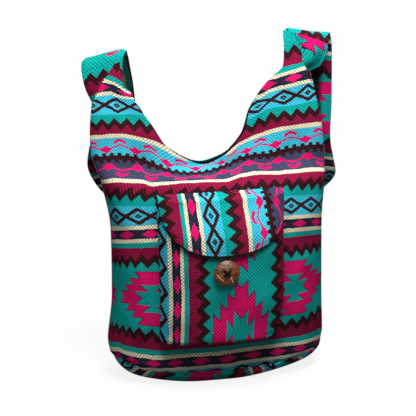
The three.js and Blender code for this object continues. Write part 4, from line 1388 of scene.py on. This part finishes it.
def left_front_map():
    """A zigzag low down, then plain teal to the fold, where one pink corner just shows; all of it dimmed by
    painted shade.
    """
    v = run - strap_run[row_at(left_crown + 12, STRAP_ROWS, LEFT_ZIGZAG)] + FIRST_ZIGZAG[0]
    share = strap_across / strap_across[:, -1:]
    past_fold = run - strap_run[left_crown]
    near_fold = hump(past_fold - CORNER_PAST_FOLD, CORNER_SLANT * share, CORNER_HALF)
    corner = smoothstep(near_fold * hump(share, *CORNER_ACROSS), *CORNER_EDGE)
    shaded = smoothstep(share, *LEFT_SHADE_ACROSS) * smoothstep(past_fold, *LEFT_SHADE_ALONG)
    distance = NO_MEDALLION - CORNER_NEARNESS * corner
    return grid(strap_across, v, distance, LEFT_PAINTED_SHADE_LEVEL - LEFT_SHADE * shaded)


left_front = left_front_map()
print("left fold: zigzag at a height of", LEFT_ZIGZAG, "mm")

# %% Strap cloth
LENGTHWISE_BAND = 62.0
# Painted shade: the wrong side high on the left leg, inside the fold, keeps this share of its colour.
FOLD_PAINTED_SHADE = 0.08
# Painted shade on the wrong side of the right leg: heights where it gets darker, and how much, there and deep
# in the fold.
LEG_SHADE = 0.3
LEG_SHADE_HEIGHTS = (288, 330)
DEEP_SHADE = 0.94
DEEP_FOLD_ENDS = (43, 52)

outside = [(0, cone), (before_crease, crown), (right_back, run_on(right_leg, crown, right_back, right_plain)),
           (middle_back, run_on(left_leg, left_front, left_crown, left_plain)), (left_crown, left_front)]
# The wrong side is painted darker deep in the folds, as painted shade, and high on the left leg its bands run
# lengthwise.
lengthwise = grid(run, LENGTHWISE_BAND + strap_across, NO_MEDALLION, FOLD_PAINTED_SHADE)
high_up = smoothstep(strap_z, *LEG_SHADE_HEIGHTS)
deep_fold = (1 - smoothstep(strap_across, *DEEP_FOLD_ENDS)) * high_up
leg_painted_shade = (1 - LEG_SHADE * high_up) * (1 - DEEP_SHADE * deep_fold)
shaded_right_leg = grid(*np.moveaxis(right_leg, -1, 0), leg_painted_shade)
behind = [(0, cone), (right_back, shaded_right_leg), (middle_back, left_leg), (left_turn, lengthwise),
          (left_crown, left_front)]
strap = cloth_piece("strap_cloth", strap_points, outside, BANDED, "shoulder_strap", STRAP_THICKNESS,
                    behind=behind)

# %% [markdown]
# ## The button, its thread and the loop
#
# The button is a turned slice of coconut shell with four holes and a face that is slightly domed. Black
# thread crosses through the holes in an X and is wound into a short shank behind. An elastic loop hangs from
# the flap's edge round the shank. The button is a profile carried round a circle, and the threads are rings
# carried along a path. The holes are pits in the face, since the thread fills them.

# %% Button
low, high = (np.array(corner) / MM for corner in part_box("coconut_button"))
BUTTON = (low + high) / 2
BUTTON_RADIUS = (high[0] - low[0]) / 2
BUTTON_THICKNESS = high[1] - low[1]
BUTTON_POLE = 0.2
HOLE_OFFSET = 4.0
HOLE_RADIUS = 1.4
HOLE_DEPTH = 3.0
DOME = 1.6


def button_grid(turns):
    """A lathe: the outline goes from the middle of the face over the rounded rim to the middle behind."""
    edge = np.linspace(0, math.pi, 13)
    thick = BUTTON_THICKNESS / 2
    face = np.linspace(BUTTON_POLE, BUTTON_RADIUS - thick, 60)
    behind = face[::-10]
    dome = -DOME * (face / BUTTON_RADIUS) ** 2
    rim = thick * np.cos(edge) + dome[-1] * (1 + np.cos(edge)) / 2
    radius = np.concatenate([face, BUTTON_RADIUS - thick + thick * np.sin(edge), behind])[:, None]
    height = np.concatenate([thick + dome, rim, np.full(len(behind), -thick)])[:, None]
    swing = full_turn(turns)
    x, z = radius * np.cos(swing), radius * np.sin(swing)
    from_hole = np.hypot(np.abs(x) - HOLE_OFFSET, np.abs(z) - HOLE_OFFSET)
    pit = HOLE_DEPTH * (1 - smoothstep(from_hole, HOLE_RADIUS - 0.5, HOLE_RADIUS + 0.4)) * (height > 0)
    return BUTTON + grid(x, pit - height, z)


def joined(surfaces):
    """Points and faces of several closed grids as one mesh, each with both its ends capped."""
    points, faces, count = [], [], 0
    for surface in surfaces:
        rows, columns = surface.shape[:2]
        points.append(surface.reshape(-1, 3))
        cap, last_ring = cap_faces(columns), (rows - 1) * columns
        quads = [grid_faces(rows, columns, closed=True)[:, ::-1], cap, cap[:, ::-1] + last_ring]
        faces.append(np.concatenate(quads) + count)
        count += rows * columns
    return np.concatenate(points), np.concatenate(faces)


new_piece("button_shell", *joined([button_grid(96)[:, ::-1]]), (SHELL, "coconut_shell"), "coconut_button")
print("button of", round(2 * BUTTON_RADIUS, 1), "mm with four holes")

# %% Thread and loop
GUIDE = np.array([0.31, 0.55, 0.77])
STRAND_RADIUS = 0.8
STRAND_ASIDE = 0.75
STRAND_RISE = 0.9
STRAND_CROSSING = 0.3
STRAND_DIVE = 2.2
SHANK_RADIUS = 2.8
LOOP_RADIUS = 7.6
LOOP_CORD = 1.1
LOOP_OPENING = 0.5
LOOP_ENDS_APART = 1.6


def tube(path, radius, sides=10):
    """A round cord along a path: a ring of points square to the path at each step, closed at the ends."""
    path = np.asarray(path, float)
    forward = unit(np.gradient(path, axis=0))
    side = unit(np.cross(forward, GUIDE))
    up = np.cross(forward, side)
    swing = full_turn(sides)
    size = np.full(len(path), radius)
    size[[0, -1]] = radius * 0.05
    ring = side[:, None] * np.cos(swing)[:, None] + up[:, None] * np.sin(swing)[:, None]
    return path[:, None] + ring * size[:, None, None]


s = np.linspace(-1, 1, 15)[:, None]
face = BUTTON - [0, BUTTON_THICKNESS / 2 + 0.5, 0]
strands = []
for turn in (-1, 1):
    for aside in (-STRAND_ASIDE, STRAND_ASIDE):
        across = np.array([1, 0, turn]) * HOLE_OFFSET * s
        beside = np.array([-turn, 0, 1]) * math.sqrt(0.5) * aside
        over = (STRAND_RISE + STRAND_CROSSING * turn) * (1 - s ** 4)
        inward = [0, 1, 0] * (STRAND_DIVE * s ** 8 - over)
        strands.append(tube(face + across + beside + inward, STRAND_RADIUS))
pocket_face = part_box("button_thread")[1][1] / MM
back_of_button = BUTTON + [0, BUTTON_THICKNESS / 2 - 0.6, 0]
shank = [0, 1, 0] * np.linspace(0, pocket_face - back_of_button[1] + 1.0, 9)[:, None]
strands.append(tube(back_of_button + shank, SHANK_RADIUS, sides=16))
new_piece("button_thread_cross", *joined(strands), BLACK_YARN, "button_thread")
low, high = (np.array(corner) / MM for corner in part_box("button_loop"))
loop_x, loop_y = (low[:2] + high[:2]) / 2
sweep = np.linspace(1.5 * math.pi - LOOP_OPENING, LOOP_OPENING - 0.5 * math.pi, 40)
ring = grid(loop_x - LOOP_RADIUS * np.cos(sweep), loop_y, low[2] + 9.0 - LOOP_RADIUS * np.sin(sweep))
ends = np.array([loop_x, loop_y + 0.4, high[2] + 3])
loop_path = np.concatenate([[ends + [LOOP_ENDS_APART, 0, 0]], ring, [ends - [LOOP_ENDS_APART, 0, 0]]])
new_piece("button_loop_cord", *joined([tube(loop_path, LOOP_CORD)]), BLACK_YARN, "button_loop")
print("loop cord of", round(run_length(loop_path[None], 1)[0, -1]), "mm")

# %% [markdown]
# ## Stitches and seam edges
#
# A row of short stitches runs just inside the flap's edge and along its seam. Where the two walls meet, the
# turned-in edges show as a thin pale cord down each side. Painted stitches would look flat at the flap's
# edge, so each is a short bent rod.

# %% Flap stitches and side seams
STITCH_PITCH = 3.4
STITCH_LENGTH = 2.5
STITCH_RADIUS = 0.4
STITCH_INSET = 3.7
SEAM_RADIUS = 0.8
SEAM_TOP = 312.0


def stitch_rods(path):
    """Short bent rods along a path, evenly spaced, each thickest in its middle."""
    run = run_length(path[None], 1)[0]
    at = np.arange(STITCH_PITCH, run[-1] - STITCH_PITCH, STITCH_PITCH)
    centre, before, after = [grid(*[np.interp(at + step, run, column) for column in path.T])
                             for step in (0.0, -0.5, 0.5)]
    forward = unit(after - before)
    side = np.cross(forward, [0, -1, 0])
    outward = np.cross(forward, side)
    s = np.linspace(-1, 1, 7)[:, None, None]
    swing = full_turn(6)[:, None]
    forward, side, outward, centre = (part[:, None, None] for part in (forward, side, outward, centre))
    thick = STITCH_RADIUS * np.sqrt(1 - 0.97 * s * s)
    ring = (side * np.cos(swing) + outward * np.sin(swing)) * thick
    return list(centre + forward * s * STITCH_LENGTH / 2 + outward * STITCH_RADIUS * 0.6 * s * s + ring)


share = np.linspace(-1, 1, 161)
inside = 1 - STITCH_INSET / FLAP_HALF
seam_z = FLAP_TOP - STITCH_INSET
edge_z = FLAP_TOP - flap_drop(share) + STITCH_INSET
sides = np.linspace(seam_z, edge_z[0], 20)
hem_share = np.concatenate([np.full(20, -inside), share * inside, np.full(20, inside)])
hem = flap_place(hem_share, np.concatenate([sides, edge_z, sides[::-1]]), COVER_PROUD)
seam_line = flap_place(share * inside, np.full(161, seam_z), COVER_PROUD)
stitches = stitch_rods(hem) + stitch_rods(seam_line)
new_piece("flap_stitches", *joined(stitches), STITCH_YARN, "flap_cover")
height = np.linspace(SEAM_LOW + SEAM_RISE, SEAM_TOP, 90)
cords = [tube(grid(lean(height) + end * half_width(height), 0.0, height), SEAM_RADIUS) for end in (-1, 1)]
new_piece("side_seam_edges", *joined(cords), SEAM_YARN, "front_panel")
print(len(stitches), "stitches on the flap")
